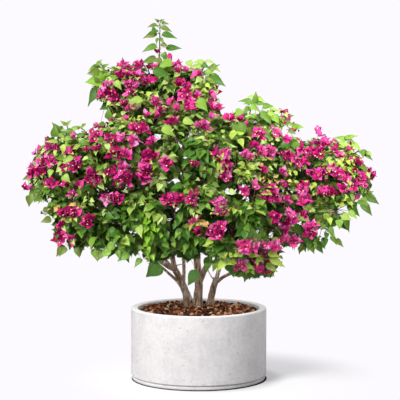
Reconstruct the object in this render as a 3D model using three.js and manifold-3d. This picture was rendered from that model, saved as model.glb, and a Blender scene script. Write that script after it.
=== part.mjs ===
// Bougainvillea bush in a round cast planter, in millimetres.
// +Z is up and the origin is the middle of the planter's flat underside. -Y is the front.
import * as THREE from "three";
import { mergeVertices } from "three/addons/utils/BufferGeometryUtils.js";
import Module from "manifold-3d";

const wasm = await Module();
wasm.setup();

// planter
const planterRadius = 250;
const planterHeight = 260;
const planterSides = 52;
const wallThickness = 26;
const floorThickness = 30;
const rimRounding = 5;
const footRadius = 246;
const footHeight = 11;
const footChamfer = 4;
const grooveDepth = 4;
const grooveLip = 1.5;
const grooveRise = 7;

// soil and mulch
const fitGap = 0.3;
const fillSides = 40;
const fillRadius = planterRadius - wallThickness - 2 * fitGap;
const soilTop = 222;
const mulchEdge = 247;
const mulchTop = 258;
const mulchCrownRadius = 110;

// limbs
const rootFlareHeight = 34;
const stemSides = 8;
const limbSides = 7;
const boughSides = 5;
const spanLength = 58;
const boughStartRadius = 6.2;
const boughTipRadius = 4.4;
const boughShare = 0.85;
const boughFollow = 0.2;
const boughEntry = 0.86;
const nearestEntry = 0.12;
const limbTolerance = 0.05;

// twigs, leaves and flowers
const up = new THREE.Vector3(0, 0, 1);
const goldenAngle = Math.PI * (3 - Math.sqrt(5));
const sprigSides = 3;
const sprigRadius = 5.8;
const sprigTipRadius = 4.8;
const sprigPastMiddle = 0.15;
const twigSides = 3;
const twigRadius = 2.3;
const twigTipRadius = 2.1;
const twigsMiddle = 0.55;
const twigsSpread = 0.42;
const twigWander = 0.5;
const shortestReach = 0.5;
const reachStep = 0.02;
const crownFullness = 1.06;
const foliageRise = 900;
const leafLength = 116;
const leafWidth = 84;
const leafWidestAt = 0.4;
const leafStalk = 0.12;
const leafThickness = 4.4;
const leafFold = 0.14;
const leafDroop = 0.14;
const leafSag = 0.35;
const leafFacesOut = 0.55;
const leafLeans = [0.95, 0.6, 1.25];
const leafSizes = [1, 0.86, 0.72, 0.6];
const leafPlaces = [0.82, 0.66, 0.48];
const mostBlades = 28;
const tipLeafPlace = 0.96;
const tipLeafShare = 0.62;
const tipLeafLeans = [0.45, 0.8];
const flowerRadius = 42;
const flowerNotch = 0.5;
const flowerCup = 26;
const flowerHeart = 13;
const flowerSink = 3;
const flowerFacesOut = 0.9;
const spaceGap = 0.6;
const leafGap = 0.9;
const joinTolerance = 0.3;
const firstSeed = 4001;
const seedStep = 17;

const colours = {
  concrete: 0xdcdadb,
  soil: 0x3a2a20,
  mulch: 0x8a5a40,
  bark: 0x7d6a5c,
  leaf: 0x5f8a3a,
  leafDeep: 0x3f6a34,
  blossom: 0xb81c78,
};

// Stems rise from the mulch. Each path is the foot, the bends that show, and the fork.
const stems = [
  { name: "stem_left", path: [[-38, 30, mulchTop], [-57, 26, 338], [-88, 14, 400]],
    foot: 17, radii: [12.5, 9.5] },
  { name: "stem_middle", path: [[-5, 28, mulchTop], [-2, 27, 300], [0, 26, 346]],
    foot: 20, radii: [15, 13] },
  { name: "stem_right", path: [[41, 42, mulchTop], [54, 36, 326], [66, 32, 366]],
    foot: 14, radii: [11.2, 9.5] },
];

// Limbs grow from a stem's fork or side. share is the place along the host, through the bends, to the end.
const limbs = [
  { name: "limb_left_up", host: "stem_left", share: 1, through: [[-99, 8, 452], [-132, -10, 590]],
    to: [-205, -20, 760], radii: [8.6, 5.2] },
  { name: "limb_left_side", host: "stem_left", share: 0.98, through: [[-128, 0, 422], [-200, -30, 490]],
    to: [-330, -50, 600], radii: [6.4, 4.6] },
  { name: "limb_left_back", host: "stem_left", share: 0.52, through: [[-56, 52, 425], [-80, 120, 560]],
    to: [-140, 200, 700], radii: [5.6, 4.4] },
  { name: "limb_middle_up", host: "stem_middle", share: 1, through: [[-5, 24, 420], [-22, 20, 600]],
    to: [-75, 20, 850], radii: [10.4, 5.6] },
  { name: "limb_middle_right", host: "stem_middle", share: 0.97, through: [[23, 18, 400], [70, 10, 520]],
    to: [165, 10, 740], radii: [9, 5.2] },
  { name: "limb_middle_back", host: "limb_middle_up", share: 0.2, through: [[10, 90, 540]],
    to: [60, 180, 680], radii: [6.4, 4.6] },
  { name: "limb_right_up", host: "stem_right", share: 1, through: [[90, 26, 436], [170, 10, 520]],
    to: [300, 0, 640], radii: [7.2, 4.8] },
];

// Masses of foliage: the space that each fills, the limb that feeds it and where its bough leaves that
// limb. blossom is the share of its twigs that end in a flower.
const masses = [
  { name: "crown_top", centre: [-140, -10, 1068], radii: [122, 185, 128],
    host: "limb_middle_up", share: 0.98, twigs: 9, blossom: 0.5 },
  { name: "crown_top_left", centre: [-290, -50, 1062], radii: [122, 180, 122],
    host: "limb_left_up", share: 0.98, twigs: 9, blossom: 0.5 },
  { name: "crown_top_right", centre: [10, -40, 1062], radii: [104, 180, 112],
    host: "limb_middle_up", share: 0.9, twigs: 9, blossom: 0.5 },
  { name: "crown_back_top", centre: [-120, 220, 980], radii: [230, 180, 165],
    host: "limb_middle_up", share: 0.8, twigs: 8, blossom: 0.4 },
  { name: "shoulder_left", centre: [-285, -190, 850], radii: [175, 190, 130],
    host: "limb_left_up", share: 0.86, twigs: 9, blossom: 0.7 },
  { name: "lobe_left", centre: [-498, -30, 782], radii: [150, 230, 165],
    host: "limb_left_side", share: 0.97, twigs: 9, blossom: 0.5 },
  { name: "skirt_left", centre: [-455, -60, 592], radii: [140, 230, 135],
    host: "limb_left_side", share: 0.84, twigs: 9, blossom: 0.45 },
  { name: "shoulder_right", centre: [205, -50, 905], radii: [150, 210, 140],
    host: "limb_middle_right", share: 0.98, twigs: 9, blossom: 0.45 },
  { name: "lobe_right", centre: [492, -40, 766], radii: [168, 220, 145],
    host: "limb_right_up", share: 0.98, twigs: 9, blossom: 0.5 },
  { name: "skirt_right", centre: [432, -80, 592], radii: [178, 225, 138],
    host: "limb_right_up", share: 0.84, twigs: 9, blossom: 0.35 },
  { name: "centre_front", centre: [10, -270, 790], radii: [185, 190, 165],
    host: "limb_middle_right", share: 0.72, twigs: 9, blossom: 0.45 },
  { name: "centre_low_left", centre: [-220, -220, 590], radii: [165, 190, 150],
    host: "stem_left", share: 0.6, twigs: 9, blossom: 0.3 },
  { name: "centre_low_right", centre: [110, -270, 590], radii: [165, 180, 130],
    host: "limb_middle_right", share: 0.5, twigs: 9, blossom: 0.4 },
  { name: "truss_low_right", centre: [196, -190, 458], radii: [118, 115, 88],
    host: "stem_right", share: 0.7, twigs: 9, blossom: 0.8 },
  { name: "skirt_middle", centre: [-85, -70, 478], radii: [165, 150, 95],
    host: "limb_middle_up", share: 0.38, twigs: 8, blossom: 0 },
  { name: "centre_back", centre: [60, 230, 830], radii: [190, 190, 165],
    host: "limb_middle_back", share: 0.98, twigs: 8, blossom: 0.35 },
  { name: "back_left", centre: [-330, 240, 730], radii: [210, 210, 190],
    host: "limb_left_back", share: 0.98, twigs: 8, blossom: 0.4 },
  { name: "back_right", centre: [320, 230, 745], radii: [210, 210, 185],
    host: "limb_right_up", share: 0.7, twigs: 8, blossom: 0.4 },
  { name: "skirt_back", centre: [0, 240, 580], radii: [240, 190, 125],
    host: "limb_middle_back", share: 0.7, twigs: 8, blossom: 0.25 },
];

// The leader is the long bare shoot over the top of the crown, with leaves in pairs.
const leader = { mass: "crown_top", tip: [-141, -10, 1302], pairs: 5, firstPair: 0.4, lastPair: 0.96,
  turn: 0.5, rise: 0.1, largest: 0.66, smallest: 0.38, topLeaf: 0.3 };

const part = new THREE.Group();

function finish(colour, roughness) {
  return new THREE.MeshStandardMaterial({ color: colour, roughness, metalness: 0 });
}

function vector(values) {
  return new THREE.Vector3(...values);
}

// A repeatable run of numbers from 0 to 1.
function seededRandom(seed) {
  const factor = 1664525;
  const step = 1013904223;
  let state = seed;
  return () => {
    state = (Math.imul(state, factor) + step) >>> 0;
    return state / 2 ** 32;
  };
}

function toSolid(geometry) {
  geometry.deleteAttribute("normal");
  geometry.deleteAttribute("uv");
  const merged = mergeVertices(geometry, 1e-4);
  const mesh = new wasm.Mesh({
    numProp: 3,
    vertProperties: new Float32Array(merged.attributes.position.array),
    triVerts: new Uint32Array(merged.index.array),
  });
  return new wasm.Manifold(mesh);
}

function toGeometry(solid) {
  const { vertProperties, triVerts } = solid.getMesh();
  const geometry = new THREE.BufferGeometry();
  geometry.setAttribute("position", new THREE.BufferAttribute(new Float32Array(vertProperties), 3));
  geometry.setIndex(new THREE.BufferAttribute(new Uint32Array(triVerts), 1));
  geometry.computeVertexNormals();
  return geometry;
}

function addPiece(name, geometry, material) {
  const piece = new THREE.Mesh(geometry, material);
  piece.name = name;
  part.add(piece);
}

// Joining or cutting can leave crumbs, so only the largest body stays.
function largestBody(solid) {
  const bodies = solid.decompose();
  return bodies.reduce((best, body) => (body.volume() > best.volume() ? body : best));
}

function latheSolid(profile, sides) {
  const points = profile.map(([radius, height]) => new THREE.Vector2(radius, height));
  const geometry = new THREE.LatheGeometry(points, sides);
  geometry.rotateX(Math.PI / 2);
  return geometry;
}

function closedLathe(name, profile, sides, material) {
  let solid = toSolid(latheSolid(profile, sides));
  if (solid.volume() < 0) {
    solid = toSolid(latheSolid([...profile].reverse(), sides));
  }
  addPiece(name, toGeometry(solid), material);
}

function buildPlanter() {
  const inner = planterRadius - wallThickness;
  const grooveFloor = footRadius - grooveDepth;
  const profile = [
    [0, 0],
    [footRadius - footChamfer, 0],
    [footRadius, footChamfer],
    [footRadius, footHeight],
    [grooveFloor, footHeight + grooveLip],
    [planterRadius, footHeight + grooveRise],
    [planterRadius, planterHeight - rimRounding],
    [planterRadius - rimRounding, planterHeight],
    [inner + rimRounding, planterHeight],
    [inner, planterHeight - rimRounding],
    [inner, floorThickness],
    [0, floorThickness],
  ];
  closedLathe("planter", profile, planterSides, finish(colours.concrete, 0.8));
}

function buildFill() {
  const soil = [
    [0, floorThickness + fitGap],
    [fillRadius, floorThickness + fitGap],
    [fillRadius, soilTop],
    [0, soilTop],
  ];
  closedLathe("potting_soil", soil, fillSides, finish(colours.soil, 0.95));
  const mulch = [
    [0, soilTop + fitGap],
    [fillRadius, soilTop + fitGap],
    [fillRadius, mulchEdge],
    [mulchCrownRadius, mulchTop],
    [0, mulchTop],
  ];
  closedLathe("bark_mulch", mulch, fillSides, finish(colours.mulch, 0.9));
}

// A closed cylinder bent along a curve, whose radius follows radiusAt from 0 to 1. It is made thicker by
// extra all round and at both ends. A flat start is level, as a cut at the ground is.
function bentCylinder({ curve, radiusAt, sides, spans = 1, extra = 0, startFlat = false }) {
  const geometry = new THREE.CylinderGeometry(1, 1, 1, sides, spans);
  const points = curve.getSpacedPoints(spans);
  const frames = curve.computeFrenetFrames(spans, false);
  if (startFlat) {
    frames.normals[0].set(1, 0, 0);
    frames.binormals[0].set(0, 1, 0);
  }
  const position = geometry.attributes.position;
  const place = new THREE.Vector3();
  for (let i = 0; i < position.count; i += 1) {
    const step = Math.round((position.getY(i) + 0.5) * spans);
    const radius = radiusAt(step / spans) + extra;
    const overrun = (step === spans) - (step === 0);
    place.copy(points[step]).addScaledVector(frames.tangents[step], overrun * extra);
    place.addScaledVector(frames.normals[step], position.getZ(i) * radius);
    place.addScaledVector(frames.binormals[step], position.getX(i) * radius);
    position.setXYZ(i, place.x, place.y, place.z);
  }
  return toSolid(geometry);
}

function taper(radii) {
  return (along) => THREE.MathUtils.lerp(radii[0], radii[1], along);
}

// Every limb's curve and radius, kept by name for what grows from it.
const grown = new Map();

// What has grown so far, made thicker all round: by the gap that the next limb keeps, and by the one that
// leaves keep.
let limbGuard = null;
let leafGuard = null;

function growLimb({ name, curve, radiusAt, sides, startFlat }) {
  const spans = Math.max(3, Math.round(curve.getLength() / spanLength));
  const thickened = (extra) => bentCylinder({ curve, radiusAt, sides, spans, extra, startFlat });
  let solid = thickened(0);
  if (limbGuard) {
    solid = largestBody(solid.subtract(limbGuard)).simplify(limbTolerance);
  }
  limbGuard = limbGuard ? limbGuard.add(thickened(fitGap)) : thickened(fitGap);
  leafGuard = leafGuard ? leafGuard.add(thickened(leafGap)) : thickened(leafGap);
  grown.set(name, { curve, radiusAt });
  addPiece(name, toGeometry(solid), finish(colours.bark, 0.85));
}

function buildStems() {
  for (const { name, path, foot, radii } of stems) {
    const points = path.map(vector);
    points[0].z += fitGap;
    const curve = new THREE.CatmullRomCurve3(points);
    const flareShare = rootFlareHeight / curve.getLength();
    const flare = (along) => (foot - radii[0]) * Math.max(0, 1 - along / flareShare) ** 2;
    const radiusAt = (along) => taper(radii)(along) + flare(along);
    growLimb({ name, curve, radiusAt, sides: stemSides, startFlat: true });
  }
}

function buildLimbs() {
  for (const { name, host, share, through, to, radii } of limbs) {
    const start = grown.get(host).curve.getPointAt(share);
    const curve = new THREE.CatmullRomCurve3([start, ...through.map(vector), vector(to)]);
    growLimb({ name, curve, radiusAt: taper(radii), sides: limbSides });
  }
}

// Each mass keeps to its own side of a plane towards every neighbour, so no two masses can meet.
function planesAround(mass) {
  const centre = vector(mass.centre);
  const weight = meanRadius(mass) ** 2;
  return masses.filter((other) => other !== mass).map((other) => {
    const facing = vector(other.centre).sub(centre);
    const distance = facing.length();
    const lead = vector(other.centre).lengthSq() - centre.lengthSq() + weight - meanRadius(other) ** 2;
    return { normal: facing.divideScalar(distance), limit: lead / (2 * distance) - spaceGap };
  });
}

function meanRadius({ radii }) {
  return Math.cbrt(radii[0] * radii[1] * radii[2]);
}

function makeSpace(mass) {
  const planes = planesAround(mass);
  const centre = vector(mass.centre);
  const radii = vector(mass.radii).multiplyScalar(crownFullness);
  const clear = (point) => planes.every(({ normal, limit }) => normal.dot(point) <= limit);
  const inside = (point) => point.clone().sub(centre).divide(radii).lengthSq() <= 1 && clear(point);
  // How far a ray from the centre runs inside the space, as a share of the way to the given point.
  const reach = (goal) => {
    let share = 0;
    while (share < 1 && inside(centre.clone().lerp(goal, share + reachStep))) {
      share += reachStep;
    }
    return share;
  };
  return { centre, radii, clear, inside, reach };
}

// A bough leaves its host, turns towards the middle of its mass, and ends just inside that mass's space.
function buildBough(mass, space) {
  const { curve: hostCurve, radiusAt: hostRadius } = grown.get(mass.host);
  const start = hostCurve.getPointAt(mass.share);
  const heading = hostCurve.getTangentAt(mass.share);
  const inward = Math.max(nearestEntry, space.reach(start) * boughEntry);
  const entry = space.centre.clone().lerp(start, inward);
  const span = start.distanceTo(entry);
  const goal = space.centre.clone().sub(entry).normalize();
  const curve = new THREE.CubicBezierCurve3(
    start,
    start.clone().addScaledVector(heading, span * boughFollow).lerp(entry, boughFollow / 2),
    entry.clone().addScaledVector(goal, -span * boughFollow),
    entry,
  );
  const radii = [Math.min(hostRadius(mass.share) * boughShare, boughStartRadius), boughTipRadius];
  growLimb({ name: `bough_${mass.name}`, curve, radiusAt: taper(radii), sides: boughSides });
  return { entry, goal };
}

// An eight-faced leaf: its root at the origin, its tip along +Y and its upper side towards +Z. The midrib
// is thickest close to the root, where it swells into the leaf's stalk.
function leafGeometry(size) {
  const geometry = new THREE.OctahedronGeometry(1, 0);
  const position = geometry.attributes.position;
  for (let i = 0; i < position.count; i += 1) {
    const side = Math.round(position.getX(i));
    const end = Math.round(position.getY(i));
    const face = Math.round(position.getZ(i));
    const along = side ? leafWidestAt : face ? leafStalk : Math.max(0, end);
    const lift = Math.abs(side) * leafFold * leafWidth - Math.max(0, end) * leafDroop * leafLength;
    position.setXYZ(i, side * leafWidth / 2, along * leafLength, lift + face * leafThickness / 2);
  }
  return geometry.scale(size, size, 1);
}

// A flower of three broad bracts in a shallow cup: its root at the origin and its mouth towards +Z.
function flowerGeometry(size) {
  const geometry = new THREE.SphereGeometry(1, 6, 2);
  const position = geometry.attributes.position;
  for (let i = 0; i < position.count; i += 1) {
    const pole = Math.round(position.getY(i));
    const turn = Math.atan2(position.getZ(i), position.getX(i));
    const isTip = Math.cos(3 * turn) > 0;
    const radius = pole ? 0 : flowerRadius * (isTip ? 1 : flowerNotch);
    const height = pole ? (pole > 0 ? flowerHeart : 0) : flowerCup * (isTip ? 1 : flowerNotch);
    position.setXYZ(i, radius * Math.cos(turn), -radius * Math.sin(turn), height);
  }
  return geometry.scale(size, size, size);
}

// Turns a leaf so that it leaves a twig at its root, along a direction, with its upper side facing another.
function placeLeaf(size, root, along, facing) {
  const forward = along.clone().normalize();
  const across = new THREE.Vector3().crossVectors(forward, facing).normalize();
  const upper = new THREE.Vector3().crossVectors(across, forward);
  const turn = new THREE.Matrix4().makeBasis(across, forward, upper);
  turn.setPosition(root);
  return leafGeometry(size).applyMatrix4(turn);
}

function placeFlower(size, root, facing, spin) {
  const turn = new THREE.Matrix4().makeRotationZ(spin);
  const aim = new THREE.Quaternion().setFromUnitVectors(new THREE.Vector3(0, 0, 1), facing);
  turn.premultiply(new THREE.Matrix4().makeRotationFromQuaternion(aim));
  turn.setPosition(root.clone().addScaledVector(facing, -flowerSink));
  return flowerGeometry(size).applyMatrix4(turn);
}

// What has grown in one mass so far. A piece is left out where it would leave the space or touch a limb,
// and a leaf or flower also where it would meet another one, or a twig that isn't its own.
class Growth {
  constructor(mass, space, seed) {
    this.mass = mass;
    this.space = space;
    this.random = seededRandom(seed);
    this.wood = [];
    this.blades = [];
  }

  isFree(geometry, allowed) {
    const position = geometry.attributes.position;
    const point = new THREE.Vector3();
    for (let i = 0; i < position.count; i += 1) {
      if (!allowed(point.fromBufferAttribute(position, i))) {
        return false;
      }
    }
    return true;
  }

  // Adds a twig and returns it with the directions that its three flat sides face, or null where it has
  // no room.
  addTwig(foot, tip, radii, allowed = this.space.inside) {
    const curve = new THREE.LineCurve3(foot, tip);
    const solid = bentCylinder({ curve, radiusAt: taper(radii), sides: twigSides });
    if (!this.isFree(toGeometry(solid), allowed) || !solid.intersect(leafGuard).isEmpty()) {
      return null;
    }
    this.wood.push(solid);
    const { normals: [across], binormals: [beside] } = curve.computeFrenetFrames(1, false);
    const sides = [1, 3, 5].map((sixth) => {
      const turn = (sixth * Math.PI) / 3;
      return across.clone().multiplyScalar(Math.cos(turn)).addScaledVector(beside, Math.sin(turn));
    });
    return { curve, solid, sides, heading: curve.getTangent(0) };
  }

  addBlade(geometry, twig, allowed = this.space.inside) {
    if (!this.isFree(geometry, allowed)) {
      return false;
    }
    const solid = toSolid(geometry);
    const others = [leafGuard, ...this.blades, ...this.wood.filter((wood) => wood !== twig.solid)];
    if (others.some((other) => !solid.intersect(other).isEmpty())) {
      return false;
    }
    this.blades.push(solid);
    return true;
  }

  // A leaf leaves its twig from the middle of a flat side: the one that faces out most, or else the next.
  // It is tried at full size and then smaller.
  addLeaf(twig, along, outward, leans = leafLeans) {
    const root = twig.curve.getPointAt(along);
    const facing = outward.clone().multiplyScalar(leafFacesOut).add(up);
    const wanted = outward.clone().addScaledVector(up, -leafSag).add(this.wobble());
    const sides = [...twig.sides].sort((one, other) => other.dot(wanted) - one.dot(wanted));
    const poses = leans.flatMap((lean) => sides.map((side) => (
      twig.heading.clone().multiplyScalar(Math.cos(lean)).addScaledVector(side, Math.sin(lean))
    )));
    for (const size of leafSizes) {
      if (poses.some((pose) => this.addBlade(placeLeaf(size, root, pose, facing), twig))) {
        return;
      }
    }
  }

  wobble() {
    const { random } = this;
    return new THREE.Vector3(random() - 0.5, random() - 0.5, random() - 0.5).multiplyScalar(2);
  }

  addFlower(twig, outward) {
    const facing = twig.heading.clone().addScaledVector(outward, flowerFacesOut).normalize();
    const spin = this.random() * 2 * Math.PI;
    return this.addBlade(placeFlower(1, twig.curve.getPointAt(1), facing, spin), twig);
  }

  // Twigs run from the sprig to points spread evenly over the space. One that heads on along the sprig
  // leaves it near its end, and one that turns back leaves it near its foot. The last leaf or flower
  // reaches the rim.
  growTwigs(sprig) {
    const { mass, space, random } = this;
    const onward = sprig.getTangentAt(0);
    const grownTwigs = [];
    for (let k = 0; k < mass.twigs; k += 1) {
      const height = 1 - (2 * (k + 0.5)) / mass.twigs;
      const around = k * goldenAngle + random() * twigWander;
      const ring = Math.sqrt(1 - height * height);
      const direction = new THREE.Vector3(ring * Math.cos(around), ring * Math.sin(around), height);
      const start = sprig.getPointAt(twigsMiddle + twigsSpread * direction.dot(onward));
      const rim = space.centre.clone().add(direction.multiply(space.radii));
      const reach = space.reach(rim);
      const flowers = random() < mass.blossom;
      const spare = (flowers ? flowerHeart : leafLength * tipLeafShare) / space.centre.distanceTo(rim);
      const goal = space.centre.clone().lerp(rim, reach - spare);
      const twig = reach > shortestReach && this.addTwig(start, goal, [twigRadius, twigTipRadius]);
      if (twig) {
        grownTwigs.push({ twig, outward: goal.clone().sub(space.centre).normalize(), flowers });
      }
    }
    const limit = this.blades.length + mostBlades;
    grownTwigs.forEach(({ twig, outward, flowers }) => this.dressTip(twig, outward, flowers));
    for (const along of leafPlaces) {
      for (const { twig, outward } of grownTwigs) {
        if (this.blades.length < limit) {
          this.addLeaf(twig, along, outward);
        }
      }
    }
  }

  dressTip(twig, outward, flowers) {
    if (!(flowers && this.addFlower(twig, outward))) {
      this.addLeaf(twig, tipLeafPlace, outward, tipLeafLeans);
    }
  }

  growLeader(foot) {
    const { clear } = this.space;
    const shoot = this.addTwig(foot, vector(leader.tip), [sprigRadius, twigTipRadius], clear);
    for (let k = 0; k < leader.pairs; k += 1) {
      const share = k / (leader.pairs - 1);
      const along = THREE.MathUtils.lerp(leader.firstPair, leader.lastPair, share);
      const size = THREE.MathUtils.lerp(leader.largest, leader.smallest, share);
      const turned = k % 2 ? leader.turn : -leader.turn;
      for (const side of [-1, 1]) {
        const heading = new THREE.Vector3(side, turned, leader.rise);
        this.addBlade(placeLeaf(size, shoot.curve.getPointAt(along), heading, up), shoot, clear);
      }
    }
    const tip = shoot.curve.getPointAt(1);
    const front = new THREE.Vector3(0, -1, 0);
    this.addBlade(placeLeaf(leader.topLeaf, tip, new THREE.Vector3(leader.rise, 0, 1), front), shoot, clear);
  }

  joined() {
    return largestBody(wasm.Manifold.union([...this.wood, ...this.blades])).simplify(joinTolerance);
  }
}

function foliageColour({ centre, blossom }) {
  const colour = new THREE.Color(colours.leafDeep);
  colour.lerp(new THREE.Color(colours.leaf), (centre[2] - planterHeight) / foliageRise);
  return colour.lerp(new THREE.Color(colours.blossom), blossom / 2);
}

function buildFoliage(mass, space, { entry, goal }, seed) {
  const growth = new Growth(mass, space, seed);
  const foot = entry.clone().addScaledVector(goal, fitGap);
  const top = space.centre.clone().addScaledVector(goal, meanRadius(mass) * sprigPastMiddle);
  const sprig = new THREE.LineCurve3(foot, top);
  const radiusAt = taper([sprigRadius, sprigTipRadius]);
  growth.wood.push(bentCylinder({ curve: sprig, radiusAt, sides: sprigSides }));
  if (leader.mass === mass.name) {
    growth.growLeader(top);
  }
  growth.growTwigs(sprig);
  addPiece(`foliage_${mass.name}`, toGeometry(growth.joined()), finish(foliageColour(mass), 0.6));
}

buildPlanter();
buildFill();
buildStems();
buildLimbs();

const spaces = masses.map(makeSpace);
const tips = masses.map((mass, index) => buildBough(mass, spaces[index]));
masses.forEach((mass, index) => {
  buildFoliage(mass, spaces[index], tips[index], firstSeed + seedStep * index);
});

export default part;
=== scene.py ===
# A bougainvillea in bloom, in its round concrete planter.
import math
import random

import bmesh
import bpy
import numpy as np
from mathutils import Euler, Matrix, Vector, kdtree, noise


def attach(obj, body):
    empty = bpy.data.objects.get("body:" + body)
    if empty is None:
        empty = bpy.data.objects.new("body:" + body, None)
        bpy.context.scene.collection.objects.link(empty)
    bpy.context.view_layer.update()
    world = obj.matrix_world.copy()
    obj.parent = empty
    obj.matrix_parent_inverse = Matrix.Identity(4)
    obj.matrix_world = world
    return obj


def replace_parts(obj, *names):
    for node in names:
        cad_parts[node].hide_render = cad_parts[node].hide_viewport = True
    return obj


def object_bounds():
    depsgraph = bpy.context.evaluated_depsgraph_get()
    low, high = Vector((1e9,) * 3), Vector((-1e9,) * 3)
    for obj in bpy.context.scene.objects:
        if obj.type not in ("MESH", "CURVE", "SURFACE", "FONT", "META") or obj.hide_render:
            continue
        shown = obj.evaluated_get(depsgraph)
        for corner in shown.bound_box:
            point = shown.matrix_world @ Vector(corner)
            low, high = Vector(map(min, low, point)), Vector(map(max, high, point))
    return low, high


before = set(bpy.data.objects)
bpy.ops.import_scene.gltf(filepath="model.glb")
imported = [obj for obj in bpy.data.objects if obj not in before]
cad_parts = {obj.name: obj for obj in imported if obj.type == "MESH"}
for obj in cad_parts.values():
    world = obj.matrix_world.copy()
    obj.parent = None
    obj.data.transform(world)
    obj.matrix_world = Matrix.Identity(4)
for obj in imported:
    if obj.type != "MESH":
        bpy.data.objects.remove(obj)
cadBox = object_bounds()
boxLow, boxHigh = (np.array(corner) * 1000 for corner in cadBox)

up = Vector((0, 0, 1))
fullTurn = 2 * math.pi
goldenAngle = math.pi * (3 - math.sqrt(5))


class Wire:  # a shader socket that can be used in sums
    def __init__(self, finish, socket):
        self.finish, self.socket = finish, socket

    def maths(self, operation, *values):
        return self.finish.node("ShaderNodeMath", {"operation": operation}, values)

    def __add__(self, other):
        return self.maths("ADD", self, other)

    def __sub__(self, other):
        return self.maths("SUBTRACT", self, other)

    def __rsub__(self, other):
        return self.maths("SUBTRACT", other, self)

    def __mul__(self, other):
        return self.maths("MULTIPLY", self, other)

    __radd__ = __add__

    def step(self, low, high):  # 0 below low, 1 above high, smooth between
        values = {"Value": self, "From Min": low, "From Max": high}
        return self.finish.node("ShaderNodeMapRange", {"interpolation_type": "SMOOTHSTEP"}, values)


class Finish:
    def __init__(self, name, **constants):
        self.material = bpy.data.materials.new(name)
        self.material.use_nodes = True
        self.tree = self.material.node_tree
        self.shader = next(n for n in self.tree.nodes if n.type == "BSDF_PRINCIPLED")
        for socketName, value in constants.items():
            self.shader.inputs[socketName.replace("_", " ")].default_value = value

    def node(self, kind, settings={}, values=(), output=0):
        made = self.tree.nodes.new(kind)
        for setting, value in settings.items():
            if setting != "stops":
                setattr(made, setting, value)
                continue
            elements = made.color_ramp.elements
            while len(elements) < len(value):
                elements.new(0.5)
            for element, (place, colour) in zip(elements, value):
                element.position = place
                element.color = (*colour, 1)
        for key, value in values.items() if isinstance(values, dict) else enumerate(values):
            if isinstance(value, Wire):
                self.tree.links.new(value.socket, made.inputs[key])
            else:
                made.inputs[key].default_value = value
        return Wire(self, made.outputs[output])

    def feed(self, socketName, wire):
        self.tree.links.new(wire.socket, self.shader.inputs[socketName])

    def objectPlace(self, stretch=(1, 1, 1)):
        place = self.node("ShaderNodeTexCoord", output="Object")
        return self.node("ShaderNodeMapping", {}, {"Vector": place, "Scale": stretch})

    def noise(self, place, scale, detail=2.0, roughness=0.5):
        values = {"Vector": place, "Scale": scale, "Detail": detail, "Roughness": roughness}
        return self.node("ShaderNodeTexNoise", {}, values)

    def lay(self, colour, *layers):  # each layer is a share and the colour that it brings
        for share, over in layers:
            values = {"Factor": share, 6: colour, 7: (*over, 1)}
            colour = self.node("ShaderNodeMix", {"data_type": "RGBA"}, values, output=2)
        return colour

    def ramp(self, share, *stops):
        return self.node("ShaderNodeValToRGB", {"stops": stops}, [share])

    def bump(self, height, strength, distance):
        values = {"Height": height, "Strength": strength, "Distance": distance}
        self.feed("Normal", self.node("ShaderNodeBump", {}, values))


def deselectAll():
    if bpy.context.mode != "OBJECT":
        bpy.ops.object.mode_set(mode="OBJECT")
    bpy.ops.object.select_all(action="DESELECT")


# An upright cylinder. Its place goes into the mesh, and the object sits at the origin.
def cylinder(name, sides, radius, bottom, top):
    deselectAll()
    bpy.ops.mesh.primitive_cylinder_add(
        vertices=sides, radius=radius, depth=top - bottom, location=(0, 0, (top + bottom) / 2)
    )
    piece = bpy.context.object
    piece.name = piece.data.name = name
    bpy.ops.object.transform_apply(location=True, rotation=True, scale=True)
    return piece


# A mesh from arrays: points in mm, faces of three or four corners, and a finish number for each face.
def pieceFromArrays(name, points, faces, finishes, faceFinish, smooth=True):
    points = np.asarray(points, np.float32) * 0.001
    sizes = np.concatenate([np.full(len(f), f.shape[1], np.int32) for f in faces])
    corners = np.concatenate([f.ravel() for f in faces]).astype(np.int32)
    mesh = bpy.data.meshes.new(name)
    mesh.vertices.add(len(points))
    mesh.vertices.foreach_set("co", points.ravel())
    mesh.loops.add(len(corners))
    mesh.loops.foreach_set("vertex_index", corners)
    mesh.polygons.add(len(sizes))
    mesh.polygons.foreach_set("loop_start", np.concatenate([[0], np.cumsum(sizes)[:-1]]).astype(np.int32))
    for finish in finishes:
        mesh.materials.append(finish.material)
    mesh.polygons.foreach_set("material_index", np.asarray(faceFinish, np.int32))
    mesh.polygons.foreach_set("use_smooth", np.full(len(sizes), smooth))
    mesh.update(calc_edges=True)
    mesh.validate()
    piece = bpy.data.objects.new(name, mesh)
    bpy.context.scene.collection.objects.link(piece)
    return piece


# Finishes of the planter, what fills it, and the bark: scales and shares of the patterns, and colours.
concreteLook = {
    "base": (0.438, 0.427, 0.433, 1), "clouds": (16, 6, 0.65), "cloudEdge": (0.32, 0.68),
    "cloudColour": (0.515, 0.500, 0.505), "grain": (90, 4, 0.75), "grainEdge": (0.4, 0.7), "grainShare": 0.55,
    "grainColour": (0.57, 0.558, 0.562), "specks": 150, "speckEdge": (0.60, 0.68), "speckShare": 0.5,
    "speckColour": (0.40, 0.385, 0.385), "pores": 70, "poreEdge": (0.66, 0.72), "poreShare": 0.7,
    "poreColour": (0.34, 0.32, 0.31),
    # painted light: the top of the rim is painted paler, as if lit
    "rim": (0.2590, 0.2618), "paintedLightRimShare": 0.65, "paintedLightRimColour": (0.72, 0.70, 0.70),
    "roughness": 0.72, "grainRoughness": 0.2, "relief": 0.25, "depth": 0.0008,
}
soilLook = {"crumbs": (160, 4, 0.7), "dark": (0.3, (0.015, 0.01, 0.008)), "light": (0.7, (0.06, 0.04, 0.028))}
chipLook = {"stretch": (1, 1, 2.5), "fibres": (260, 3, 0.6), "darkAt": 0.32, "lightAt": 0.68}
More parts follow.
